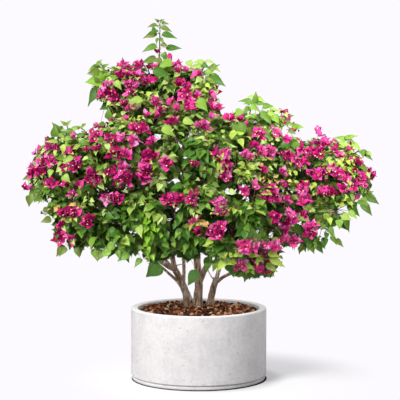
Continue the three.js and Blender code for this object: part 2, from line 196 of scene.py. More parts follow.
barkLook = {
    "stretch": (1, 1, 0.16), "fissures": (190, 4, 0.65), "patches": (26, 3, 0.6), "tones": (
        (0.34, (0.025, 0.015, 0.009)), (0.46, (0.13, 0.085, 0.053)),
        (0.57, (0.30, 0.215, 0.145)), (0.70, (0.56, 0.45, 0.34)),
    ),
    "redEdge": (0.5, 0.68), "redShare": 0.5, "red": (0.24, 0.125, 0.08),
    "greyEdge": (0.5, 0.3), "greyShare": 0.45, "grey": (0.40, 0.36, 0.32),
}


def makeConcrete():
    s = concreteLook
    finish = Finish("concrete", Roughness=0.8, Specular_IOR_Level=0.35)
    place = finish.objectPlace()
    clouds = finish.noise(place, *s["clouds"]).step(*s["cloudEdge"])
    grain = finish.noise(place, *s["grain"])
    specks = finish.noise(place, s["specks"]).step(*s["speckEdge"])
    pores = finish.noise(place, s["pores"]).step(*s["poreEdge"])
    height = finish.node("ShaderNodeSeparateXYZ", {}, [place], output="Z")
    finish.feed("Base Color", finish.lay(
        s["base"], (clouds, s["cloudColour"]),
        (grain.step(*s["grainEdge"]) * s["grainShare"], s["grainColour"]),
        (specks * s["speckShare"], s["speckColour"]), (pores * s["poreShare"], s["poreColour"]),
        (height.step(*s["rim"]) * s["paintedLightRimShare"], s["paintedLightRimColour"]),  # painted light: the top of the rim is paler, as if lit from above
    ))
    finish.feed("Roughness", s["roughness"] + grain * s["grainRoughness"])
    finish.bump(grain * 0.5 + specks * -0.5 - pores, s["relief"], s["depth"])
    return finish


def makeSoil():
    finish = Finish("potting_soil", Roughness=0.95)
    crumbs = finish.noise(finish.objectPlace(), *soilLook["crumbs"])
    finish.feed("Base Color", finish.ramp(crumbs, soilLook["dark"], soilLook["light"]))
    finish.bump(crumbs, 0.8, 0.003)
    return finish


def makeChip(name, dark, light):
    s = chipLook
    finish = Finish(name, Roughness=0.8, Specular_IOR_Level=0.12)
    fibres = finish.noise(finish.objectPlace(s["stretch"]), *s["fibres"])
    finish.feed("Base Color", finish.ramp(fibres, (s["darkAt"], dark), (s["lightAt"], light)))
    finish.bump(fibres, 0.4, 0.001)
    return finish


def makeBark():
    s = barkLook
    finish = Finish("bark", Roughness=0.85, Specular_IOR_Level=0.25)
    fissures = finish.noise(finish.objectPlace(s["stretch"]), *s["fissures"])
    patches = finish.noise(finish.objectPlace(), *s["patches"])
    finish.feed("Base Color", finish.lay(
        finish.ramp(fissures, *s["tones"]), (patches.step(*s["redEdge"]) * s["redShare"], s["red"]),
        (patches.step(*s["greyEdge"]) * s["greyShare"], s["grey"]),
    ))
    finish.bump(fissures, 0.7, 0.0012)
    return finish


# The planter, in metres. Its rim stands 2.5 mm higher than the solid's, as in the picture.
planterShape = {
    "sides": 160, "radius": 0.250, "height": 0.2625, "wall": 0.026, "floor": 0.030, "footRadius": 0.246,
    "footHeight": 0.011, "grooveDepth": 0.004, "grooveLip": 0.0015, "grooveRise": 0.007,
    "rimRounding": 0.005, "footRounding": 0.0035, "grooveRounding": 0.0012, "sharpAngle": 32,
}


def selectRing(piece, radius, height):  # the edges of the level ring at that radius and height
    edited = bmesh.from_edit_mesh(piece.data)
    for edge in edited.edges:
        edge.select_set(all(
            abs(v.co.z - height) < 1e-4 and abs(v.co.xy.length - radius) < 4e-4 for v in edge.verts
        ))
    edited.select_flush_mode()
    bmesh.update_edit_mesh(piece.data)


def buildPlanter(concrete):
    s = planterShape
    planter = cylinder("concrete_planter", s["sides"], s["radius"], 0, s["height"])
    bpy.ops.object.mode_set(mode="EDIT")
    bpy.ops.mesh.select_mode(type="EDGE")
    grooveTop, grooveFloor = s["footHeight"] + s["grooveRise"], s["footHeight"] + s["grooveLip"]
    for height in (s["footHeight"], grooveFloor, grooveTop):
        bpy.ops.mesh.select_all(action="SELECT")
        bpy.ops.mesh.bisect(plane_co=(0, 0, height), plane_no=(0, 0, 1))
    grooveRadius = s["footRadius"] - s["grooveDepth"]
    for height, radius in (
        (0, s["footRadius"]), (s["footHeight"], s["footRadius"]), (grooveFloor, grooveRadius),
    ):
        selectRing(planter, s["radius"], height)
        share = radius / s["radius"]
        bpy.ops.transform.resize(value=(share, share, 1))
    # the hollow: the top is inset by the wall and pushed down to the floor
    bpy.ops.mesh.select_mode(type="FACE")
    bpy.ops.mesh.select_all(action="DESELECT")
    edited = bmesh.from_edit_mesh(planter.data)
    for face in edited.faces:
        face.select_set(face.normal.z > 0.9 and face.calc_center_median().z > s["height"] - 1e-4)
    bpy.ops.mesh.inset(thickness=s["wall"])
    bpy.ops.mesh.extrude_region_move(TRANSFORM_OT_translate={"value": (0, 0, s["floor"] - s["height"])})
    bpy.ops.mesh.select_mode(type="EDGE")
    for radius, height, rounding, segments in (
        (s["radius"], s["height"], s["rimRounding"], 5),
        (s["radius"] - s["wall"], s["height"], s["rimRounding"], 5),
        (s["footRadius"], 0, s["footRounding"], 4),
        (s["radius"], grooveTop, s["grooveRounding"], 3),
        (s["footRadius"], s["footHeight"], s["grooveRounding"], 3),
    ):
        selectRing(planter, radius, height)
        bpy.ops.mesh.bevel(offset=rounding, segments=segments, profile=0.5, affect="EDGES")
    bpy.ops.object.mode_set(mode="OBJECT")
    bpy.ops.object.shade_smooth_by_angle(angle=math.radians(s["sharpAngle"]))
    planter.data.materials.append(concrete.material)
    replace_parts(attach(planter, "root"), "planter")


# The bark mulch: a low mound in metres, and the nuggets on it in mm.
mulchShape = {
    "sides": 72, "radius": 0.2234, "bottom": 0.2223, "edge": 0.2465, "middle": 0.2540, "rings": 6,
    "sharpAngle": 40, "roughness": 0.002, "smoothFrom": 0.21, "nuggets": 1350, "seed": 71, "length": (12, 23),
    "width": (10, 17), "thickness": (8, 15), "tilt": 1.1, "rise": (-3, 8), "clearOfWall": 14,
    "weights": (25, 22, 26, 16, 7, 4),
}


def moundHeight(radius):
    s = mulchShape
    return s["edge"] + (s["middle"] - s["edge"]) * (1 - min(1, radius / s["radius"]) ** 2)


def buildMound(finish):
    s = mulchShape
    mound = cylinder("mulch_bed", s["sides"], s["radius"], s["bottom"], s["edge"])
    bpy.ops.object.mode_set(mode="EDIT")
    bpy.ops.mesh.select_mode(type="FACE")
    edited = bmesh.from_edit_mesh(mound.data)
    for face in edited.faces:
        face.select_set(face.normal.z > 0.9)
    for ring in range(s["rings"]):
        bpy.ops.mesh.inset(thickness=s["radius"] / (s["rings"] + 1))
    bpy.ops.object.mode_set(mode="OBJECT")
    for vertex in mound.data.vertices:
        if vertex.co.z > s["edge"] - 1e-4:
            rough = noise.noise(vertex.co * 40) * s["roughness"]
            far = vertex.co.xy.length
            vertex.co.z = moundHeight(far) + (rough if far < s["smoothFrom"] else 0)
    bpy.ops.object.shade_smooth_by_angle(angle=math.radians(s["sharpAngle"]))
    mound.data.materials.append(finish.material)
    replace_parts(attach(mound, "root"), "bark_mulch")


# A nugget is a six-sided flake: a middle ring and two smaller faces, each corner knocked about.
def buildNuggets(finishes):
    s = mulchShape
    dice = random.Random(s["seed"])
    points, triangles, faceFinish = [], [], []
    corners = 6
    for number in range(s["nuggets"]):
        radius = math.sqrt(dice.random()) * (s["radius"] * 1000 - s["clearOfWall"])
        around = dice.random() * fullTurn
        length, width, thickness = (dice.uniform(*s[size]) / 2 for size in ("length", "width", "thickness"))
        tilts = dice.gauss(0, s["tilt"] / 2), dice.gauss(0, s["tilt"] / 2)
        turn = Euler((*tilts, dice.random() * fullTurn)).to_matrix()
        height = moundHeight(radius / 1000) * 1000 + dice.uniform(*s["rise"])
        middle = Vector((radius * math.cos(around), radius * math.sin(around), height))
        first = len(points)
        for level, spread in ((-1, 0.7), (0, 1), (1, 0.62)):
            for k in range(corners):
                angle = fullTurn * (k + 0.5 * level) / corners
                knock = spread * dice.uniform(0.75, 1.15)
                points.append(middle + turn @ Vector((
                    length * knock * math.cos(angle), width * knock * math.sin(angle),
                    level * thickness * dice.uniform(0.7, 1.1),
                )))
        for ring in (first, first + corners):
            for k in range(corners):
                a, b = ring + k, ring + (k + 1) % corners
                triangles += [(a, b, b + corners), (a, b + corners, a + corners)]
        top = first + 2 * corners
        for k in range(1, corners - 1):
            triangles += [(first, first + k + 1, first + k), (top, top + k, top + k + 1)]
        shade = dice.choices(range(len(finishes)), weights=s["weights"])[0]
        faceFinish += [shade] * (4 * corners + 2 * (corners - 2))
    faces = [np.array(triangles)]
    piece = pieceFromArrays("mulch_nuggets", points, faces, finishes, faceFinish, smooth=False)
    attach(piece, "root")


# The wood, in mm: stems, limbs and boughs take the solids' ways. In the picture they are a little fuller.
mulchTop, fitGap = 258, 0.3
stems = [  # name, the way, thickness of the foot and at both ends
    ("stem_left", [(-38, 30, mulchTop), (-57, 26, 338), (-88, 14, 400)], 17, (12.5, 9.5)),
    ("stem_middle", [(-5, 28, mulchTop), (-2, 27, 300), (0, 26, 346)], 20, (15, 13)),
    ("stem_right", [(41, 42, mulchTop), (54, 36, 326), (66, 32, 366)], 14, (11.2, 9.5)),
]
limbs = [  # name, host, share along it, the way, thickness at both ends
    ("limb_left_up", "stem_left", 1, [(-99, 8, 452), (-132, -10, 590), (-205, -20, 760)], (8.6, 5.2)),
    ("limb_left_side", "stem_left", 0.98, [(-128, 0, 422), (-200, -30, 490), (-330, -50, 600)], (6.4, 4.6)),
    ("limb_left_back", "stem_left", 0.52, [(-56, 52, 425), (-80, 120, 560), (-140, 200, 700)], (5.6, 4.4)),
    ("limb_middle_up", "stem_middle", 1, [(-5, 24, 420), (-22, 20, 600), (-75, 20, 850)], (12.6, 5.6)),
    ("limb_middle_right", "stem_middle", 0.97, [(23, 18, 400), (70, 10, 520), (165, 10, 740)], (9, 5.2)),
    ("limb_middle_back", "limb_middle_up", 0.2, [(10, 90, 540), (60, 180, 680)], (6.4, 4.6)),
    ("limb_right_up", "stem_right", 1, [(90, 26, 436), (170, 10, 520), (300, 0, 640)], (7.2, 4.8)),
]
masses = [  # name, centre, radii, host of its bough, share along it, main twigs, share of blossom
    ("crown_top", (-140, -10, 1068), (122, 185, 128), "limb_middle_up", 0.98, 9, 0.5),
    ("crown_top_left", (-290, -50, 1062), (122, 180, 122), "limb_left_up", 0.98, 9, 0.5),
    ("crown_top_right", (10, -40, 1062), (104, 180, 112), "limb_middle_up", 0.9, 9, 0.5),
    ("crown_back_top", (-120, 220, 980), (230, 180, 165), "limb_middle_up", 0.8, 8, 0.4),
    ("shoulder_left", (-285, -190, 850), (175, 190, 130), "limb_left_up", 0.86, 9, 0.7),
    ("lobe_left", (-498, -30, 782), (150, 230, 165), "limb_left_side", 0.97, 9, 0.5),
    ("skirt_left", (-455, -60, 592), (140, 230, 135), "limb_left_side", 0.84, 9, 0.45),
    ("shoulder_right", (205, -50, 905), (150, 210, 140), "limb_middle_right", 0.98, 9, 0.45),
    ("lobe_right", (492, -40, 766), (168, 220, 145), "limb_right_up", 0.98, 9, 0.5),
    ("skirt_right", (432, -80, 592), (178, 225, 138), "limb_right_up", 0.84, 9, 0.35),
    ("centre_front", (10, -270, 790), (185, 190, 165), "limb_middle_right", 0.72, 9, 0.45),
    ("centre_low_left", (-220, -220, 590), (165, 190, 150), "stem_left", 0.6, 9, 0.3),
    ("centre_low_right", (110, -270, 590), (165, 180, 130), "limb_middle_right", 0.5, 9, 0.4),
    ("truss_low_right", (196, -190, 458), (118, 115, 88), "stem_right", 0.7, 9, 0.8),
    ("skirt_middle", (-85, -70, 478), (165, 150, 95), "limb_middle_up", 0.38, 8, 0),
    ("centre_back", (60, 230, 830), (190, 190, 165), "limb_middle_back", 0.98, 8, 0.35),
    ("back_left", (-330, 240, 730), (210, 210, 190), "limb_left_back", 0.98, 8, 0.4),
    ("back_right", (320, 230, 745), (210, 210, 185), "limb_right_up", 0.7, 8, 0.4),
    ("skirt_back", (0, 240, 580), (240, 190, 125), "limb_middle_back", 0.7, 8, 0.25),
]
spurs = [  # thin branches and spurs low on the stems: way through the picture, depth, thickness at both ends
    ([(183, 289), (176, 280), (165, 270), (156, 262), (146, 252)], 14, (5.2, 3.2)),
    ([(196, 306), (192, 299), (189, 291)], 20, (2.6, 1.4)),
    ([(214, 280), (211, 276), (208, 270)], 22, (2.4, 1.3)),
    ([(172, 268), (178, 265), (184, 264)], 12, (2.2, 1.3)),
]
woodShape = {
    "flareHeight": 34, "ringGap": 5.0, "fewestRings": 8, "sides": 22, "relief": 0.13, "knots": 0.16,
    "fuller": 1.16, "boughStart": 6.2, "boughTip": 4.4, "boughShare": 0.85, "boughFollow": 0.2,
    "boughEntry": 0.86, "nearestEntry": 0.12, "highest": 950, "lowered": 0.86, "fullness": 1.06, "gap": 0.6,
}
grown = {}  # every limb's line and thickness, by name


class Line:  # a smooth line through points, read by its share of the length
    spanSteps, curveSteps, lookAhead = 60, 80, 0.004

    def __init__(self, points):
        points = [Vector(p) for p in points]
        knots = [points[0] * 2 - points[1], *points, points[-1] * 2 - points[-2]]
        samples = []
        for k in range(1, len(knots) - 2):
            samples += self.span(*knots[k - 1:k + 3], last=k == len(knots) - 3)
        self.measure(samples)

    def measure(self, samples):
        self.samples = np.array(samples)
        steps = np.linalg.norm(np.diff(self.samples, axis=0), axis=1)
        self.lengths = np.concatenate([[0], np.cumsum(steps)])
        self.length = float(self.lengths[-1])

    def span(self, p0, p1, p2, p3, last):
        d0, d1, d2 = (max((b - a).length, 1e-4) ** 0.5 for a, b in ((p0, p1), (p1, p2), (p2, p3)))
        t1 = ((p1 - p0) / d0 - (p2 - p0) / (d0 + d1) + (p2 - p1) / d1) * d1
        t2 = ((p2 - p1) / d1 - (p3 - p1) / (d1 + d2) + (p3 - p2) / d2) * d1
        c2, c3 = (p2 - p1) * 3 - t1 * 2 - t2, (p1 - p2) * 2 + t1 + t2
        shares = [k / self.spanSteps for k in range(self.spanSteps + last)]
        return [p1 + t1 * t + c2 * t ** 2 + c3 * t ** 3 for t in shares]

    def at(self, share):
        place = np.clip(share, 0, 1) * self.length
        return Vector([np.interp(place, self.lengths, self.samples[:, k]) for k in range(3)])

    def along(self, share):
        low, high = max(0, share - self.lookAhead), min(1, share + self.lookAhead)
        return (self.at(high) - self.at(low)).normalized()


class BentLine(Line):  # a cubic curve from its two ends and the two points that pull it
    def __init__(self, p0, p1, p2, p3):
        shares = [k / self.curveSteps for k in range(self.curveSteps + 1)]
        self.measure([
            p0 * (1 - t) ** 3 + p1 * 3 * t * (1 - t) ** 2 + p2 * 3 * t * t * (1 - t) + p3 * t ** 3
            for t in shares
        ])


# Rings of points round a line. Returns points and faces, closed at both ends.
def tube(places, radii, sides, reliefAt=None):
    places = np.asarray(places, float)
    count = len(places)
    forward = np.gradient(places, axis=0)
    forward /= np.linalg.norm(forward, axis=1)[:, None]
    side = np.cross(forward[0], (0.3, 0.9, 0.1))
    sideways = []
    for heading in forward:
        side = side - heading * side.dot(heading)
        side = side / np.linalg.norm(side)
        sideways.append(side)
    sideways = np.array(sideways)
    other = np.cross(forward, sideways)
    turns = fullTurn * np.arange(sides) / sides
    cosines, sines = np.cos(turns)[None, :, None], np.sin(turns)[None, :, None]
    ring = sideways[:, None, :] * cosines + other[:, None, :] * sines
    spread = np.asarray(radii, float)[:, None, None] * np.ones((count, sides, 1))
    if reliefAt is not None:
        spread = spread * reliefAt(turns)[:, :, None]
    points = (places[:, None, :] + ring * spread).reshape(-1, 3)
    k, j = np.meshgrid(np.arange(count - 1), np.arange(sides), indexing="ij")
    a, b = k * sides + j, k * sides + (j + 1) % sides
    quads = np.stack([a, b, b + sides, a + sides], -1).reshape(-1, 4)
    foot, top = len(points), (count - 1) * sides
    j = np.arange(sides)
    low = np.stack([np.full(sides, foot), (j + 1) % sides, j], -1)
    high = np.stack([np.full(sides, foot + 1), top + j, top + (j + 1) % sides], -1)
    return np.concatenate([points, places[:1], places[-1:]]), quads, np.concatenate([low, high])


class Heap:  # gathers many small shapes into one mesh
    def __init__(self):
        self.points, self.quads, self.triangles = [], [], []
        self.quadFinish, self.triangleFinish = [], []
        self.count = 0

    def add(self, points, quads, triangles, finish=0):
        self.points.append(points)
        for faces, kept, marks in (
            (quads, self.quads, self.quadFinish), (triangles, self.triangles, self.triangleFinish),
        ):
            if len(faces):
                kept.append(faces + self.count)
                marks.append(np.broadcast_to(finish, (len(faces),)))
        self.count += len(points)

    def piece(self, name, finishes):
        faces = [np.concatenate(kept) for kept in (self.quads, self.triangles) if kept]
        marks = np.concatenate(self.quadFinish + self.triangleFinish)
        return pieceFromArrays(name, np.concatenate(self.points), faces, finishes, marks)


def addLimb(heap, name, line, radii, foot, seed):
    s = woodShape
    shares = np.linspace(0, 1, max(s["fewestRings"], int(line.length / s["ringGap"])))
    thickness = (radii[0] + (radii[1] - radii[0]) * shares) * s["fuller"]
    if foot:
        flare = np.maximum(0, 1 - shares * line.length / s["flareHeight"]) ** 2
        thickness = thickness + (foot - radii[0]) * flare
    grown[name] = (line, radii)

    def reliefAt(turns):  # ridges along the bark and knots
        rows = []
        for down in shares * line.length:
            row = []
            for x, y in ((math.cos(turn), math.sin(turn)) for turn in turns):
                ridge = noise.noise(Vector((x * 2.6, y * 2.6, down / 34 + seed)))
                knot = noise.noise(Vector((x * 0.8, y * 0.8, down / 26 + seed + 50)))
                row.append(1 + s["relief"] * ridge + s["knots"] * knot)
            rows.append(row)
        return np.array(rows)

    heap.add(*tube([line.at(t) for t in shares], thickness, s["sides"], reliefAt))


class Space:  # the room of one mass: an ellipsoid, cut by a plane towards each neighbour
    def __init__(self, index):
        s = woodShape
        _, centre, radii = masses[index][:3]
        self.centre = np.array(centre, float)
        self.trueRadii = np.array(radii, float)
        if centre[2] > s["highest"]:  # the tops are a little lower than the twigs that rise through them
            self.trueRadii[2] *= s["lowered"]
        self.radii = self.trueRadii * s["fullness"]
        self.mean = float(np.prod(radii)) ** (1 / 3)
        self.normals, self.limits = [], []
        for k, (_, other, otherRadii, *_rest) in enumerate(masses):
            if k != index:
                facing = np.array(other, float) - self.centre
                distance = np.linalg.norm(facing)
                lead = np.dot(other, other) - self.centre.dot(self.centre)
                lead += self.mean ** 2 - float(np.prod(otherRadii)) ** (2 / 3)
                self.normals.append(facing / distance)
                self.limits.append(lead / (2 * distance) - s["gap"])
        self.normals, self.limits = np.array(self.normals), np.array(self.limits)

    def reach(self, goal):  # the share of the way from the middle to the goal that stays inside
        shares = np.arange(0.02, 1.0001, 0.02)
        points = self.centre + (np.array(goal) - self.centre) * shares[:, None]
        inside = (((points - self.centre) / self.radii) ** 2).sum(1) <= 1
        inside &= (points @ self.normals.T <= self.limits).all(1)
        return 1.0 if inside.all() else float(shares[inside.argmin()] - 0.02)


def buildWood(bark):
    s = woodShape
    heap = Heap()
    for number, (name, way, foot, radii) in enumerate(stems):
        way = [Vector(p) for p in way]
        way[0].z += fitGap
        addLimb(heap, name, Line(way), radii, foot, 10 * number)
    for number, (name, host, share, way, radii) in enumerate(limbs):
        addLimb(heap, name, Line([grown[host][0].at(share), *way]), radii, None, 100 + 10 * number)
    tips = []
    for index, (name, centre, _, host, share, *_rest) in enumerate(masses):
        line, hostRadii = grown[host]
        start, heading = line.at(share), line.along(share)
        middle = Vector(centre)
        entry = middle.lerp(start, max(s["nearestEntry"], spaces[index].reach(start) * s["boughEntry"]))
        reach = (start - entry).length
        goal = (middle - entry).normalized()
        follow = s["boughFollow"]
        pulled = (start + heading * reach * follow).lerp(entry, follow / 2)
        bend = BentLine(start, pulled, entry - goal * reach * follow, entry)
        hostRadius = hostRadii[0] + (hostRadii[1] - hostRadii[0]) * share
        thickness = (min(hostRadius * s["boughShare"], s["boughStart"]), s["boughTip"])
        addLimb(heap, f"bough_{name}", bend, thickness, None, 300 + 10 * index)
        tips.append((entry, goal))
    for number, (way, depth, radii) in enumerate(spurs):
        line = Line([placeOf(u, v, depth) for u, v in way])
        addLimb(heap, f"spur_{number}", line, radii, None, 600 + 10 * number)
    piece = heap.piece("stems_and_boughs", [bark])
    wooden = [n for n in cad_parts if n.startswith(("stem_", "limb_", "bough_"))]
    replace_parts(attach(piece, "root"), *wooden)
    return tips


# Leaves, bracts and flowers: outlines as shares of length and width, the rest in mm, shares and radians.
leafShape = {
    "stations": (0, 0.05, 0.14, 0.28, 0.44, 0.6, 0.78, 1),
    "halfWidths": (0, 0.27, 0.43, 0.5, 0.455, 0.33, 0.15, 0), "fold": 0.5, "wave": 0.09, "stalk": 11,
    "stalkRange": (0.6, 1.1), "stalkRadii": (0.8, 0.6), "turn": 0.7, "hang": (0.1, 0.8), "hangUnder": 0.5,
    "stray": 0.2, "upperStray": 0.45, "edgeOn": 0.92, "tipShorter": 0.45, "lengthRange": (0.82, 1.15),
    "ratio": (0.6, 0.78), "droop": (0.05, 0.8), "lastFrom": 0.97, "toneSteps": (-3, -2, -1, -1, 0, 0, 1, 2),
}
bractShape = {
    "stations": (0, 0.14, 0.36, 0.6, 0.82, 1), "halfWidths": (0.08, 0.34, 0.5, 0.42, 0.19, 0), "fold": 0.36,
    "wave": 0.13, "length": 26.5, "width": 19, "opening": (0.25, 0.85), "turn": 0.15, "lean": 0.12,
    "lengthRange": (0.85, 1.15), "widthRange": (0.9, 1.1), "droop": (-0.6, 0.8), "rootOut": 1.2,
    "toneSteps": (-2, -1, 0, 0, 1), "tubeShare": 0.5, "tubeLength": 15, "tubeRange": (0.8, 1.1),
    "tubeOut": 2, "tubeLean": 0.25, "tubeRadius": 1.0, "starRadius": 2.6, "starHeight": 1.2,
}


class Blades:  # blades of one kind: each is a grid of stations by columns, bent by its own numbers
    columns, wavesAlong, wavesAcross, leastBend = np.array((-1, 0, 1)), 9, 5, 1e-3

    def __init__(self, shape):
        self.shape, self.rows = shape, []

    def add(self, root, forward, upper, *numbers):  # length, width, droop, curl and finish
        self.rows.append((*root, *forward, *upper, *numbers))

    def piece(self, name, finishes):
        rows = np.array(self.rows, float)
        root, forward, upper = rows[:, 0:3], rows[:, 3:6], rows[:, 6:9]
        length, width, droop, curl, finish = rows[:, 9:].T
        forward /= np.linalg.norm(forward, axis=1)[:, None]
        across = np.cross(forward, upper)
        across /= np.linalg.norm(across, axis=1)[:, None]
        upper = np.cross(across, forward)
        t, c = np.meshgrid(self.shape["stations"], self.columns, indexing="ij")
        half = np.repeat(np.array(self.shape["halfWidths"])[:, None], len(self.columns), 1)
        t, c, half = t.ravel(), c.ravel(), half.ravel()
        # the blade bends down along an arc, so its length stays
        bend = np.where(np.abs(droop) < self.leastBend, self.leastBend, droop)[:, None]
        alongArc = np.sin(bend * t) / bend * length[:, None]
        downArc = (1 - np.cos(bend * t)) / bend * length[:, None]
        out = half * c * width[:, None]
        fold = self.shape["fold"] * np.abs(half * c) * width[:, None]
        wave = np.sin(self.wavesAlong * t + self.wavesAcross * c) * np.abs(c)
        lift = fold + curl[:, None] * self.shape["wave"] * width[:, None] * wave - downArc
        points = (
            root[:, None, :] + forward[:, None, :] * alongArc[..., None]
            + across[:, None, :] * out[..., None] + upper[:, None, :] * lift[..., None]
        )
        wide, size = len(self.columns), len(t)
        quads = np.array([(a, a + 1, a + 1 + wide, a + wide) for a in range(size - wide) if (a + 1) % wide])
        faces = (quads + (np.arange(len(rows)) * size)[:, None, None]).reshape(-1, 4)
        heap = Heap()
        heap.add(points.reshape(-1, 3), faces, [], np.repeat(finish.astype(int), len(quads)))
        return heap.piece(name, finishes)


class Rods(Heap):  # thin straight or bent stalks with a few sides
    def add(self, places, radii, sides, finish=0):
        super().add(*tube(places, radii, sides), finish)


leafTones = {
    "shade": (0.042, 0.120, 0.010), "deep": (0.080, 0.165, 0.017), "green": (0.138, 0.252, 0.027),
    "mid": (0.215, 0.325, 0.055), "pale": (0.325, 0.440, 0.120), "bright": (0.140, 0.300, 0.012),
    "lime": (0.300, 0.400, 0.060), "gold": (0.520, 0.340, 0.110), "olive": (0.100, 0.152, 0.020),
}
bractTones = {
    "wine": (0.280, 0.004, 0.070), "deep": (0.420, 0.010, 0.135), "magenta": (0.575, 0.040, 0.240),
    # light is painted light for the truss that hangs low at the right
    "bright": (0.610, 0.085, 0.310), "rose": (0.640, 0.200, 0.430), "light": (0.690, 0.050, 0.250),
}
toneNumber = {name: k for k, name in enumerate(leafTones)}
paintedLightBract = len(bractTones) - 1  # the palest tone, painted light on the truss that hangs low at the right in the crown's shade; only it has it
leafMixes = {  # the tones of the leaves of a kind, each up to its share
    "young": ((0.08, "gold"), (0.5, "lime"), (1, "pale")),
    "youngRight": ((0.02, "gold"), (0.5, "lime"), (1, "pale")),
    "backlit": ((0.5, "bright"), (0.75, "green"), (1, "mid")), "shade": ((0.4, "shade"), (1, "deep")),
    "low": ((0.35, "shade"), (0.85, "deep"), (1, "green")),
    "middle": ((0.55, "green"), (0.85, "mid"), (1, "pale")),
    "high": ((0.45, "mid"), (0.8, "pale"), (1, "green")),
}
growthShape = {
    "drawSeed": 4001, "drawSeedStep": 17, "diceSeed": 900, "sprigRadii": (4.0, 3.5, 3.0),
    "sprigPastMiddle": 0.15, "twigRadii": (2.6, 1.1), "twigsMiddle": 0.55, "twigsSpread": 0.42,
    "twigWander": 0.5, "twigBow": 6, "twigEnds": (0.84, 0.72, 0.6, 0.45, 0.3),
    "twigSteps": (0, 0.25, 0.5, 0.75, 1), "outlineMargin": 4,
    "shootHosts": (0.4, 0.5, 0.6, 0.7, 0.8, 0.9, 1), "shootNear": 28,
    "twigHosts": (0.3, 0.45, 0.6, 0.75, 0.9), "hostOutward": 30, "drawnIn": (1, 0.85, 0.7, 0.55, 0.4),
    "sideRadii": (1.3, 0.6), "sideSteps": (0, 0.35, 0.7, 1), "leafyEnd": 100, "leafLength": (34, 55),
    "leaves": (8, 12), "innerLeaves": (5, 7), "bloomLeaves": (3, 5),
    "leafSizes": {"bloom": 0.82, "young": 0.75, "backlit": 0.75, "shade": 1.15, "low": 1.15},
    "lowLeaves": 600, "youngByBloom": 0.3, "flowers": (5, 7), "neck": 0.84, "dome": 1.25,
    "flowerSpread": (0.45, 1.2), "flowerDepth": 8, "flowerSize": (0.85, 1.12), "flowerReach": 24,
    "innerReach": (0.5, 0.78), "innerShade": 0.3,
}
toneShape = {  # where leaves and bracts are paler or darker, partly as painted light and shade, in mm and shares
    "leafFoot": 450, "leafSpan": 600, "leafStray": 0.35, "paleFrom": 180, "paleAbove": 700, "paler": 0.25,
    "darkBelow": 640, "darker": 0.18, "lowMost": 0.3, "middleMost": 0.65, "youngRight": 350, "magenta": 0.5,
    "bright": 0.55, "truss": (100, 545), "deepLeft": (-150, 630), "deepBelow": 560, "deepUnder": -0.35,
    "roseRight": (120, 0.08),
}
outsideShape = {  # the outside of the whole crown, on which the sprays end
    "size": 0.94, "melt": 2.4, "edge": 0.60, "directions": 900, "neighbourEase": 26, "bloomGap": 40,
    "frontGap": 39, "backGap": 54, "front": 70, "innerSprays": 72, "sideRoom": 24, "woodGap": 11,
    "ragged": 7, "skyRoom": 2.8, "depths": (-560, 150, 6), "seed": 77, "slopeStep": 6,
    "rays": (0.3, 1.45, 0.02), "openDepth": (0, 14), "leafDepth": (4, 42),
}
backShape = {  # where blossom and young growth are on the sides that the picture doesn't show
    "from": 150, "facing": 0.15, "under": -0.35, "clumps": 0.012, "stray": 0.12, "blossom": 0.95,
    "young": 0.12, "youngAbove": 650,
}

# The camera of the picture, in mm and in pixels of a 400 px frame.
pictureView = {
    "distance": 5000, "height": 982, "pitch": math.radians(3.70), "focal": 1362.4, "middle": (198.7, 200),
    "size": 400,
}


def pictureOf(points):
    s = pictureView
    points = np.asarray(points, float).reshape(-1, 3)
    y, z = points[:, 1] + s["distance"], points[:, 2] - s["height"]
    depth = y * math.cos(s["pitch"]) - z * math.sin(s["pitch"])
    rise = y * math.sin(s["pitch"]) + z * math.cos(s["pitch"])
    return s["middle"][0] + s["focal"] * points[:, 0] / depth, s["middle"][1] - s["focal"] * rise / depth


def placeOf(u, v, y):  # the place at that depth which shows at a pixel of the picture
    s = pictureView
    right, rise = (u - s["middle"][0]) / s["focal"], (s["middle"][1] - v) / s["focal"]
    pitch = s["pitch"]
    ray = Vector((right, math.cos(pitch) + rise * math.sin(pitch), rise * math.cos(pitch) - math.sin(pitch)))
    return Vector((0, -s["distance"], s["height"])) + ray * ((y + s["distance"]) / ray.y)


